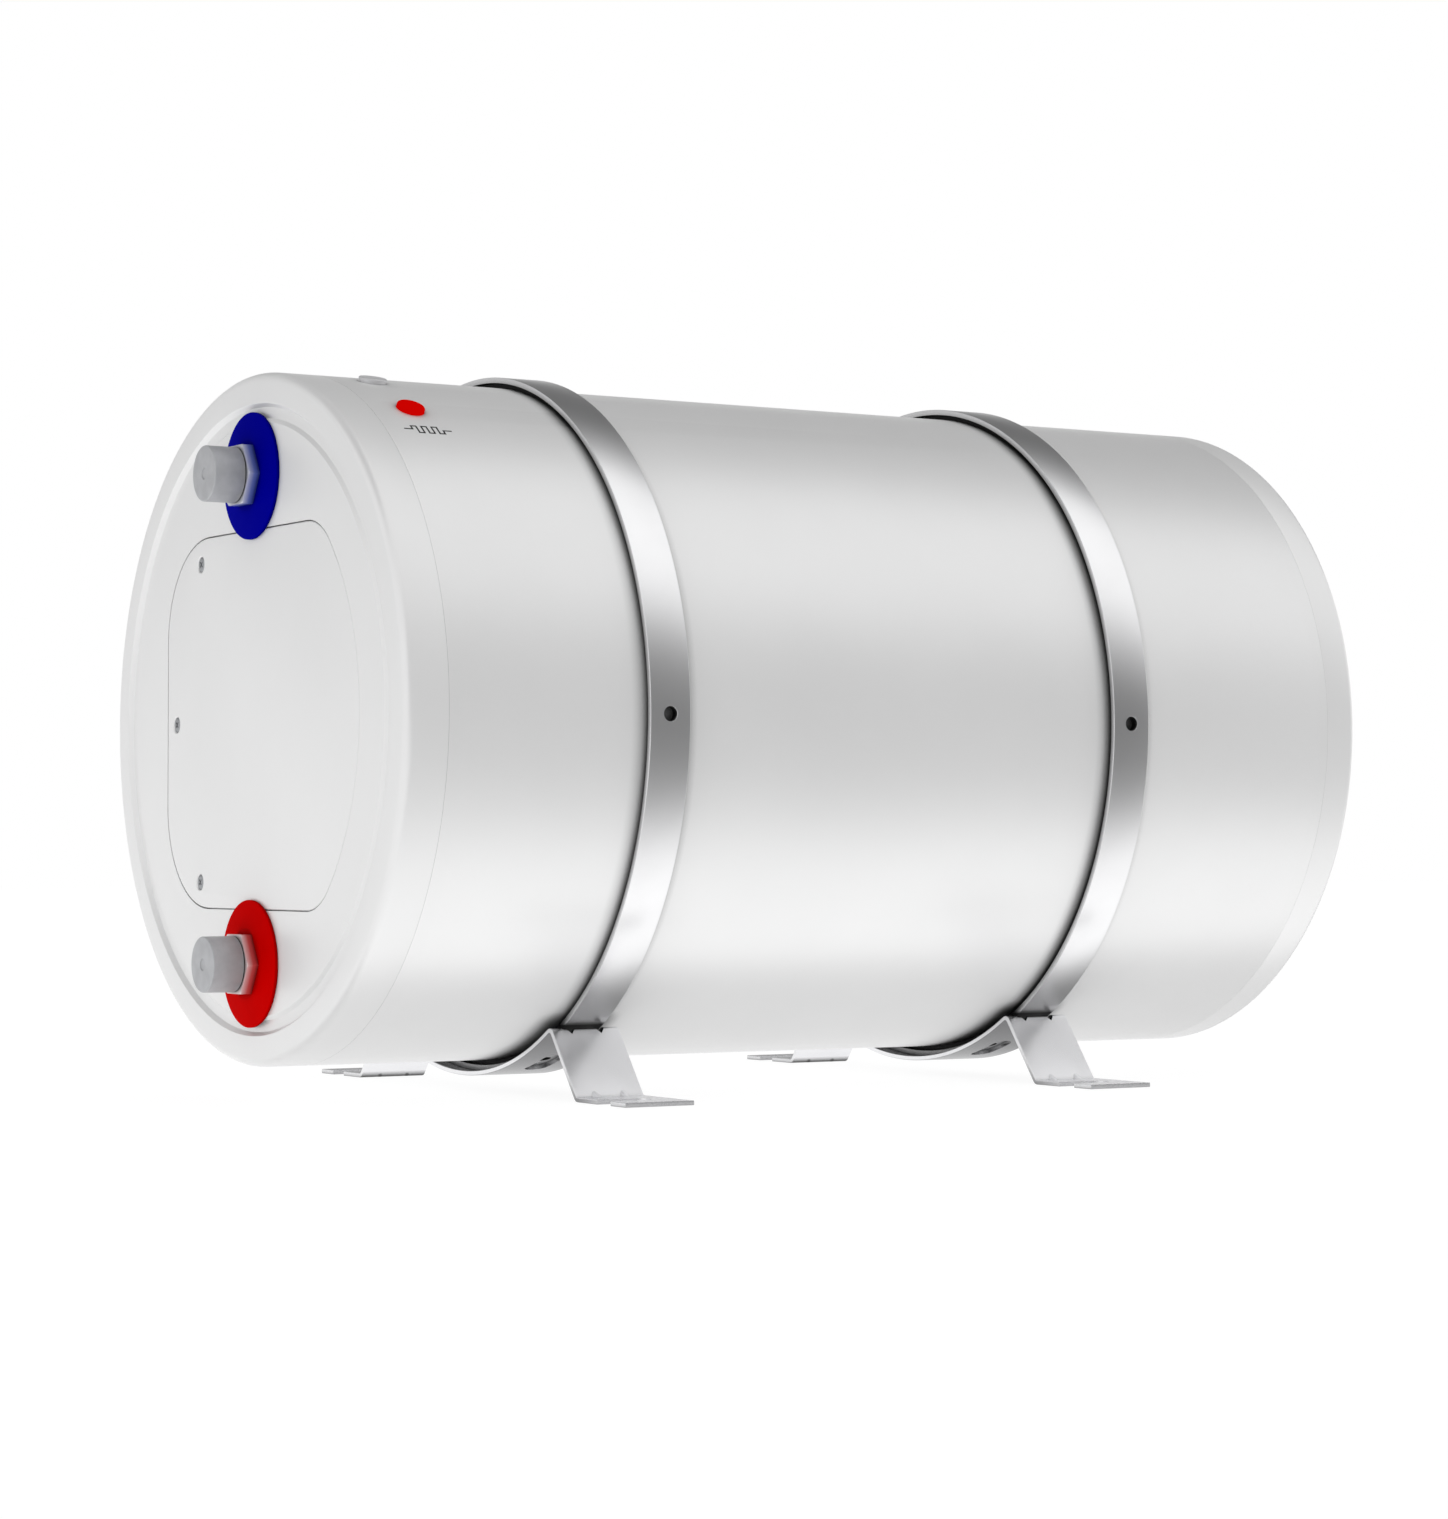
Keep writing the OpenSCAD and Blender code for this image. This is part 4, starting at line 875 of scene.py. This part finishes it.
class HEATER_OT_controls(bpy.types.Operator):
    """Power button, lamp and the printed heat mark"""
    bl_idname = "heater.controls"
    bl_label = "Button and lamp"

    def mark(self, body, fit):
        """A printed meander, the plain sign for a heating element, on the shell beside the lamp."""
        r, ink, turns, count = body.shell_d / 2, 0.03 * MM, 3, 6
        half, tall = fit.mark_w / 2, fit.mark_h / 2
        step = fit.mark_w / (2 * turns + 3)
        path = [Vector((-half, 0))]
        for k in range(2 * turns):
            x = -half + (k + 1.5) * step
            path += [Vector((x, path[-1].y)), Vector((x, tall if k % 2 else -tall))]
        x = path[-1].x + step
        path += [Vector((x, path[-1].y)), Vector((x, 0)), Vector((half, 0))]
        verts, faces = [], []
        for a, b in zip(path, path[1:]):
            way = (b - a).normalized() * fit.mark_line / 2
            side = Vector((-way.y, way.x))
            first = len(verts)
            for i in range(count + 1):
                here = (a - way).lerp(b + way, i / count)
                for edge, height in ((-side, -ink), (-side, ink), (side, ink), (side, -ink)):
                    p = here + edge
                    on_shell = ray(math.pi / 2 + fit.mark_angle + p.y / r, r + height)
                    verts.append(Vector((fit.control_x + 0.8 * MM + p.x, *on_shell)))
            for k in range(4):
                m = (k + 1) % 4
                faces += [(i + k, i + m, i + 4 + m, i + 4 + k) for i in range(first, first + 4 * count, 4)]
            last = first + 4 * count
            faces += [tuple(range(first, first + 4)), tuple(range(last, last + 4))]
        at = Matrix.Translation((body.front_x, 0, body.axis_height))
        return mesh_piece("heat_mark", verts, faces, at)

    def spring(self, fit, low, high):
        """The button's return spring, an open helix of round wire under the button."""
        wire, per_turn, free = fit.spring_wire, 24, 0.15 * MM
        up, section, steps = Vector((0, 0, 1)), circle(wire, 10), 5 * per_turn
        start, rise = low + wire + free / 2, high - low - 2 * wire - free
        rings = []
        for i in range(steps + 1):
            out = Vector((*ray(math.tau * i / per_turn), 0))
            middle = out * fit.spring_r + up * (start + rise * i / steps)
            rings.append([middle + out * p.x + up * p.y for p in section])
        return skin("button_return_spring", rings, radial_at(fit.control_x, fit.button_angle))

    def execute(self, context):
        scene = context.scene
        body, fit = scene.heater_body, scene.heater_fittings
        r, edge, soft = body.shell_d / 2, fit.control_d / 2, 0.2 * MM
        top, flange = r + fit.control_rise, r - body.shell_wall - 0.9 * MM
        low, high = r - 19 * MM, flange - 3 * MM
        dress(self.spring(fit, low, high), FINISH["screw_steel"], nodes=["button_spring"])
        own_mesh(bpy.data.objects["button_return_spring"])
        wide, stem, stem_end = edge + 1.2 * MM, 2.2 * MM, r - 21 * MM
        outline = rounded([(0, top), (edge, top, 0.5 * MM), (edge, flange), (wide, flange, soft),
                           (wide, high, soft), (stem, high, 0.3 * MM), (stem, stem_end, 0.4 * MM),
                           (0, stem_end)], 5)
        dress(lathe("power_push_button", outline, radial_at(fit.control_x, fit.button_angle), 96),
              FINISH["grey_button"], body="button", nodes=["power_button"])
        wide, collar, end = edge + 1.5 * MM, r - 1.6 * MM, r - 6 * MM
        outline = rounded([(0, top), (edge, top, 0.8 * MM), (edge, collar), (wide, collar),
                           (wide, end, 0.3 * MM), (0, end)], 6)
        dress(lathe("lamp_cover", outline, radial_at(fit.control_x, fit.lamp_angle), 96),
              FINISH["red_lens"], nodes=["lamp_lens"])
        dress(self.mark(body, fit), FINISH["print"])
        return {"FINISHED"}


class HEATER_OT_straps(bpy.types.Operator):
    """Straps and their rubber liners"""
    bl_idname = "heater.straps"
    bl_label = "Straps"

    def band(self, name, x, ri, ro, width, hole, soft):
        """A closed ring of flat strip with its five holes: at the top, at both sides and two below."""
        scene = bpy.context.scene
        half, below = width / 2, scene.heater_brackets.hole_angle
        outline = [(ri, -half, soft / 2), (ro, -half, soft), (ro, half, soft), (ri, half, soft / 2)]
        band = lathe(name, rounded(outline, 4), tank_at(x), scene.heater_studio.steps)
        proud = ro + 0.4 * MM
        burr = rounded([(0, ri - 10 * MM), (hole / 2, ri - 10 * MM), (hole / 2, ro - 0.1 * MM),
                        (hole / 2 + 0.5 * MM, proud), (0, proud)])
        return combine(band, [lathe("cut", burr, radial_at(x, a), 40)
                              for a in (0, math.pi / 2, -math.pi / 2, math.pi - below, math.pi + below)])

    def execute(self, context):
        bracket = context.scene.heater_brackets
        r = context.scene.heater_body.shell_d / 2
        ri = r + bracket.liner_t
        ro = ri + bracket.strap_t
        for side, x in strap_places():
            strap = self.band(side + "_strap_band", x, ri, ro, bracket.strap_w, bracket.strap_hole, 0.2 * MM)
            dress(strap, FINISH["stainless_band"], nodes=[side + "_strap"])
            liner = self.band(side + "_rubber_liner", x, r, ri, bracket.liner_w, bracket.strap_hole + 1 * MM,
                              0.3 * MM)
            dress(liner, FINISH["rubber"], nodes=[side + "_liner"])
        return {"FINISHED"}


class HEATER_OT_saddles(bpy.types.Operator):
    """Pressed saddles that carry the straps"""
    bl_idname = "heater.saddles"
    bl_label = "Saddles"

    def half_profile(self, body, bracket):
        """Top and under surface of the sheet, on (y, z) from the axis, out to the foot's edge.

        The cradle follows the strap, a bend turns it over the ridge into the leg, and a second bend lays it
        into the foot. Also returns the ridge's centre, the leg's angle and the corner of leg and foot.
        """
        ro = body.shell_d / 2 + bracket.liner_t + bracket.strap_t
        t, a, r = bracket.saddle_t, bracket.saddle_angle, bracket.foot_bend
        corner = Vector((bracket.foot_spacing / 2 - bracket.foot_in, t - body.axis_height))
        bend = (ro + bracket.bend_r) * Vector((math.sin(a), -math.cos(a)))
        way = corner - bend
        leg = math.atan2(way.y, way.x) + math.acos(bracket.bend_r / way.length)
        foot = corner + Vector((r * (1 - math.sin(leg)) / math.cos(leg), r))
        down = 1.5 * math.pi
        end = bracket.foot_spacing / 2 + bracket.foot_out
        top, low = [arc((0, 0), ro + drop, down, down + a, 24)
                    + arc(bend, bracket.bend_r - drop, math.pi / 2 + a, leg, 12)
                    + arc(foot, r + drop, math.pi + leg, down, 10)
                    + [Vector((end, corner.y - drop))] for drop in (0, t)]
        return top, low, bend, leg, corner

    def plate(self, name, loop, half, at):
        """A solid of one outline in (y, z), as wide as half to both sides of the strap's middle."""
        return skin(name, [[Vector((x, *p)) for p in loop] for x in (-half, half)], at)

    def stiffener(self, bracket, corner, leg, k, mirror, dent):
        """One pressed rib in the corner of leg and foot, or the dent behind it."""
        t, low_end = bracket.saddle_t, corner.y - 0.5 * MM
        lean = (leg + math.pi / 2) / 2
        r = bracket.rib_r - (0.8 * MM if dent else 0)
        shift = bracket.rib_shift - (t - 0.3 * MM if dent else 0)
        where = corner + ray(lean, shift)
        at = (mirror @ Matrix.Translation((k * bracket.rib_spacing / 2, where.x, where.y))
              @ Matrix.Rotation(lean - math.pi, 4, "X"))
        reach = 5 * MM
        outline = [(0, -reach)] + [(r * math.cos(u), -reach + 0.7 * r * (1 + math.sin(u)))
                                   for u in map(math.radians, range(-80, 1, 10))]
        outline += [(p[0], -p[1]) for p in reversed(outline)]
        rib = lathe("rib", outline, at, 32)
        if not dent:
            inside = corner.x - (0.6 * t - 0.5 * MM * math.sin(leg)) / math.cos(leg)
            high_end = Vector((inside, low_end)) + ray(leg + math.pi / 2, 14 * MM)
            outside = corner.x + 5 * MM
            front = [Vector((inside, low_end)), Vector((outside, low_end)),
                     Vector((outside, high_end.y)), high_end]
            combine(rib, [self.plate("front", front, bracket.saddle_w / 2, mirror)], "INTERSECT")
        return rib

    def openings(self, bracket, bend, corner, at, s):
        """The strap's slot with its relief notches, the foot slot and the window, on side s."""
        mirror = at @ Matrix.Diagonal((1, s, 1, 1))
        half, n = bracket.strap_w / 2 + 0.1 * MM, bracket.notch
        ridge = bend.y + bracket.bend_r
        cuts = [self.plate("cut", block(bend.x - 4.5 * MM, bend.x + 1.2 * MM, ridge - 5 * MM, ridge + 3 * MM),
                           half, mirror)]
        vee = [Vector((x, y)) for x, y in ((-n, 0.5 * MM), (n, 0.5 * MM), (n, 0), (0, -n), (-n, 0))]
        for k in (-1, 1):
            cuts.append(prism("cut", vee, 0, 8 * MM,
                              mirror @ Matrix.Translation((k * (half - n), bend.x + 6 * MM, ridge))
                              @ Matrix.Rotation(math.pi / 2, 4, "X")))
        mouth, deep = bracket.slot_w / 2, 5 * MM
        slot = arc((0, 0), mouth, -math.pi / 2, math.pi / 2, 24)
        slot += [Vector((-bracket.saddle_w, mouth)), Vector((-bracket.saddle_w, -mouth))]
        cuts.append(prism("cut", slot, -deep, deep,
                          mirror @ Matrix.Translation((0, bracket.foot_spacing / 2, corner.y))))
        ro = math.hypot(*bend) - bracket.bend_r
        w = bracket.window_w / 2
        long = (bracket.window_half - math.radians(1.85)) * (ro + bracket.saddle_t / 2)
        window = arc((0, long), w, 0, math.pi, 16) + arc((0, -long), w, math.pi, math.tau, 16)
        cuts.append(prism("cut", window, ro - 4 * MM, ro + 8 * MM,
                          at @ Matrix.Rotation(math.pi + s * bracket.hole_angle, 4, "X")))
        return cuts

    def execute(self, context):
        body, bracket = context.scene.heater_body, context.scene.heater_brackets
        top, low, bend, leg, corner = self.half_profile(body, bracket)
        half, soft = bracket.saddle_w / 2, 0.3 * MM
        flip = Vector((-1, 1))

        def ring(x, inset):
            a = [p + (q - p).normalized() * inset for p, q in zip(top, low)]
            b = [q + (p - q).normalized() * inset for p, q in zip(top, low)]
            across = [p * flip for p in reversed(a[1:])] + a + b[::-1] + [p * flip for p in b[1:]]
            return [Vector((x, p.x, p.y)) for p in across]

        edge = ((0, soft), (0.3 * soft, 0.3 * soft), (soft, 0))
        rings = [ring(-half + x, inset) for x, inset in edge]
        rings += [ring(half - x, inset) for x, inset in reversed(edge)]
        for side, x in strap_places():
            at = Matrix.Translation((body.front_x + x, 0, body.axis_height))
            saddle = skin(side + "_pressed_saddle", rings, at)
            ribs, dents, cuts = [], [], []
            for s in (1, -1):
                mirror = at @ Matrix.Diagonal((1, s, 1, 1))
                for k in (-1, 1):
                    ribs.append(self.stiffener(bracket, corner, leg, k, mirror, dent=False))
                    dents.append(self.stiffener(bracket, corner, leg, k, mirror, dent=True))
                cuts += self.openings(bracket, bend, corner, at, s)
            combine(saddle, ribs, "UNION")
            combine(saddle, dents + cuts, smooth=18)
            dress(saddle, FINISH["stainless_sheet"], nodes=[side + "_saddle"])
        return {"FINISHED"}


class HEATER_OT_studio(bpy.types.Operator):
    """Camera, pale floor, white surround, one softbox and the graded cards"""
    bl_idname = "heater.studio"
    bl_label = "Studio"

    def surround(self, studio):
        """Soft light that grows towards the zenith. Camera, glossy and transmission rays see plain white."""
        world = bpy.data.worlds.new("soft_surround")
        bpy.context.scene.world = world
        world.use_nodes = True
        tree = world.node_tree
        tree.nodes.clear()
        towards = add(tree, "ShaderNodeTexCoord")
        height = add(tree, "ShaderNodeSeparateXYZ", None, {"Vector": towards.outputs["Generated"]})
        square = add(tree, "ShaderNodeMath", {"operation": "MULTIPLY"},
                     {0: height.outputs["Z"], 1: height.outputs["Z"]})
        sky = add(tree, "ShaderNodeMapRange", {"To Min": studio.ambient, "To Max": studio.overhead},
                  {"Value": square.outputs[0]})
        light = add(tree, "ShaderNodeBackground", {"Color": (1, 1, 1, 1)}, {"Strength": sky.outputs[0]})
        white = add(tree, "ShaderNodeBackground", {"Color": (1, 1, 1, 1), "Strength": 1.0})
        rays = add(tree, "ShaderNodeLightPath")
        seen = add(tree, "ShaderNodeMath", {"operation": "MAXIMUM"},
                   {0: rays.outputs["Is Camera Ray"], 1: rays.outputs["Is Glossy Ray"]})
        seen = add(tree, "ShaderNodeMath", {"operation": "MAXIMUM"},
                   {0: seen.outputs[0], 1: rays.outputs["Is Transmission Ray"]})
        mix = add(tree, "ShaderNodeMixShader", None,
                  {0: seen.outputs[0], 1: light.outputs[0], 2: white.outputs[0]})
        add(tree, "ShaderNodeOutputWorld", None, {"Surface": mix.outputs[0]})

    def floor(self, studio):
        """A light table: pale paper that glows evenly from below and keeps a faint shadow.

        Its own light and the paper's share add up to plain white. Diffuse rays see it a little brighter.
        """
        mat = bpy.data.materials.new("pale_paper_floor")
        mat.use_nodes = True
        tree = mat.node_tree
        tree.nodes.clear()
        paper = add(tree, "ShaderNodeBsdfDiffuse", {"Color": linear("#F6F6F6")})
        rays = add(tree, "ShaderNodeLightPath")
        glow = add(tree, "ShaderNodeMapRange", {"To Min": 1.06, "To Max": studio.glow},
                   {"Value": rays.outputs["Is Diffuse Ray"]})
        white = add(tree, "ShaderNodeEmission", {"Color": (1, 1, 1, 1)}, {"Strength": glow.outputs[0]})
        mix = add(tree, "ShaderNodeMixShader", {"Fac": 0.86}, {1: paper.outputs[0], 2: white.outputs[0]})
        add(tree, "ShaderNodeOutputMaterial", None, {"Surface": mix.outputs[0]})
        half = 9.0  # far enough for its edge to fade into the surround
        floor = mesh_piece("paper_floor", [(*p, 0) for p in block(-half, half, -half, half)], [(0, 1, 2, 3)])
        floor.data.materials.append(mat)

    def card(self, name, rows):
        """A graded card that only reflections see, in rows of (one end, other end, grey)."""
        verts = [p for start, end, grey in rows for p in (start, end)]
        strips = [(2 * i, 2 * i + 1, 2 * i + 3, 2 * i + 2) for i in range(len(rows) - 1)]
        card = mesh_piece(name, verts, strips)
        greys = card.data.color_attributes.new(name="grey", type="FLOAT_COLOR", domain="POINT")
        for i, row in enumerate(rows):
            for k in (0, 1):
                greys.data[2 * i + k].color = (row[2], row[2], row[2], 1)
        mat = bpy.data.materials.new(name + "_board")
        mat.use_nodes = True
        tree = mat.node_tree
        tree.nodes.clear()
        tone = add(tree, "ShaderNodeVertexColor", {"layer_name": "grey"})
        board = add(tree, "ShaderNodeEmission", {"Strength": 1.0}, {"Color": tone.outputs[0]})
        add(tree, "ShaderNodeOutputMaterial", None, {"Surface": board.outputs[0]})
        card.data.materials.append(mat)
        card.visible_camera = False
        card.visible_diffuse = False
        card.visible_shadow = False
        card.visible_transmission = False

    def cards(self, body, bracket):
        """The cards that draw the soft bands on the coat and the straps, and the painted shade on the floor
        that the coat and straps reflect.
        """
        left, right = -0.3, 2.6
        self.card("horizon_card", [
            ((-1.3, -1.3, z), (right, -1.3, z), grey) for z, grey in
            ((0.001, 0.19), (0.35, 0.16), (0.55, 0.22), (0.8, 0.44), (1.1, 0.78), (1.45, 1.0))])
        self.card("low_back_card", [
            ((-0.2, 0.7, z), (1.7, 0.7, z), grey) for z, grey in
            ((0.001, 0.3), (0.14, 0.3), (0.24, 0.45), (0.3, 0.8))])
        # Painted shade: the dark rows from y -0.104 to 0.0 stand for the shade on the floor under the tank,
        # as the coat and straps reflect it.
        self.card("floor_card", [
            ((left, y, 0.0002), (right, y, 0.0002), grey) for y, grey in
            ((-1.3, 0.2), (-0.7, 0.22), (-0.45, 0.33), (-0.33, 0.6), (-0.25, 0.95), (-0.2, 1.06),
             (-0.12, 1.08), (-0.104, 0.5), (-0.088, 0.2), (-0.06, 0.22), (-0.03, 0.35), (0.0, 0.6),
             (0.05, 0.9))])
        self.card("upper_back_card", [
            ((left, y, z), (right, y, z), grey) for y, z, grey in
            ((-0.15, 1.55, 0.8), (0.0, 1.47, 0.46), (0.2, 1.37, 0.19), (0.45, 1.23, 0.09),
             (0.8, 1.05, 0.1), (1.1, 0.88, 0.25), (1.35, 0.75, 0.6))])
        self.card("upper_left_card", [
            ((x, -0.5, 1.45), (x, 2.2, 1.45), grey) for x, grey in
            ((-0.3, 0.2), (-0.95, 0.12), (-1.25, 0.3), (-1.6, 0.8))])
        self.card("left_back_card", [
            ((-1.5, 1.2, z), (-0.25, 1.2, z), grey) for z, grey in
            ((0.05, 1.0), (0.2, 0.9), (0.35, 0.65), (0.7, 0.5), (1.2, 0.4))])
        # Painted shade: a dark card in front of each near foot, seen only in reflections, stands for the
        # foot's contact shadow on the floor.
        y = -(bracket.foot_spacing / 2 + bracket.foot_out + 12 * MM)
        for side, x in strap_places():
            x += body.front_x
            self.card(side + "_foot_shadow_card", [
                ((x - 24 * MM, y, z), (x + 50 * MM, y, z), grey) for z, grey in
                ((0.0003, 0.03), (0.013, 0.06))])

    def lamp(self, name, place, aim, size, power):
        """A round softbox that reflections don't see."""
        data = bpy.data.lights.new(name, "AREA")
        data.shape, data.size, data.energy = "DISK", size, power
        lamp = bpy.data.objects.new(name, data)
        lamp.location = place
        lamp.rotation_euler = (Vector(aim) - Vector(place)).to_track_quat("-Z", "Y").to_euler()
        lamp.visible_glossy = False
        bpy.context.scene.collection.objects.link(lamp)

    def execute(self, context):
        scene = context.scene
        studio, body, bracket = scene.heater_studio, scene.heater_body, scene.heater_brackets
        data = bpy.data.cameras.new("view")
        data.sensor_width, data.lens = 36.0, studio.lens
        data.clip_end = 40
        camera = bpy.data.objects.new("view", data)
        az, el = studio.azimuth, studio.elevation
        ahead = Vector((math.sin(az) * math.cos(el), math.cos(az) * math.cos(el), math.sin(el)))
        camera.location = studio.camera
        camera.rotation_euler = ahead.to_track_quat("-Z", "Y").to_euler()
        scene.collection.objects.link(camera)
        scene.camera = camera
        scene.view_settings.view_transform = "Standard"

        self.surround(studio)
        self.floor(studio)
        self.cards(body, bracket)
        self.lamp("key_softbox", (1.1, -1.05, 1.75), (0, 0, body.axis_height), 1.1, studio.key)
        return {"FINISHED"}


OPERATORS = [HEATER_OT_studio, HEATER_OT_finishes, HEATER_OT_shell, HEATER_OT_caps, HEATER_OT_cover,
             HEATER_OT_connections, HEATER_OT_controls, HEATER_OT_straps, HEATER_OT_saddles]


class HEATER_PT_panel(bpy.types.Panel):
    """Lists the heater's pieces"""
    bl_idname = "HEATER_PT_panel"
    bl_label = "Caravan water heater"
    bl_space_type = "VIEW_3D"
    bl_region_type = "UI"
    bl_category = "Heater"

    def draw(self, context):
        for operator in OPERATORS:
            self.layout.operator(operator.bl_idname)
        for name, group in GROUPS.items():
            box = self.layout.box()
            box.label(text=name.replace("heater_", "").title())
            for key in group.__annotations__:
                box.prop(getattr(context.scene, name), key)


def register():
    for name, group in GROUPS.items():
        bpy.utils.register_class(group)
        setattr(bpy.types.Scene, name, PointerProperty(type=group))
    for item in OPERATORS + [HEATER_PT_panel]:
        bpy.utils.register_class(item)


def unregister():
    for item in reversed(OPERATORS + [HEATER_PT_panel]):
        bpy.utils.unregister_class(item)
    for name, group in reversed(list(GROUPS.items())):
        delattr(bpy.types.Scene, name)
        bpy.utils.unregister_class(group)


def main():
    register()
    for operator in OPERATORS:
        group, name = operator.bl_idname.split(".")
        getattr(getattr(bpy.ops, group), name)()


if __name__ == "__main__":
    main()
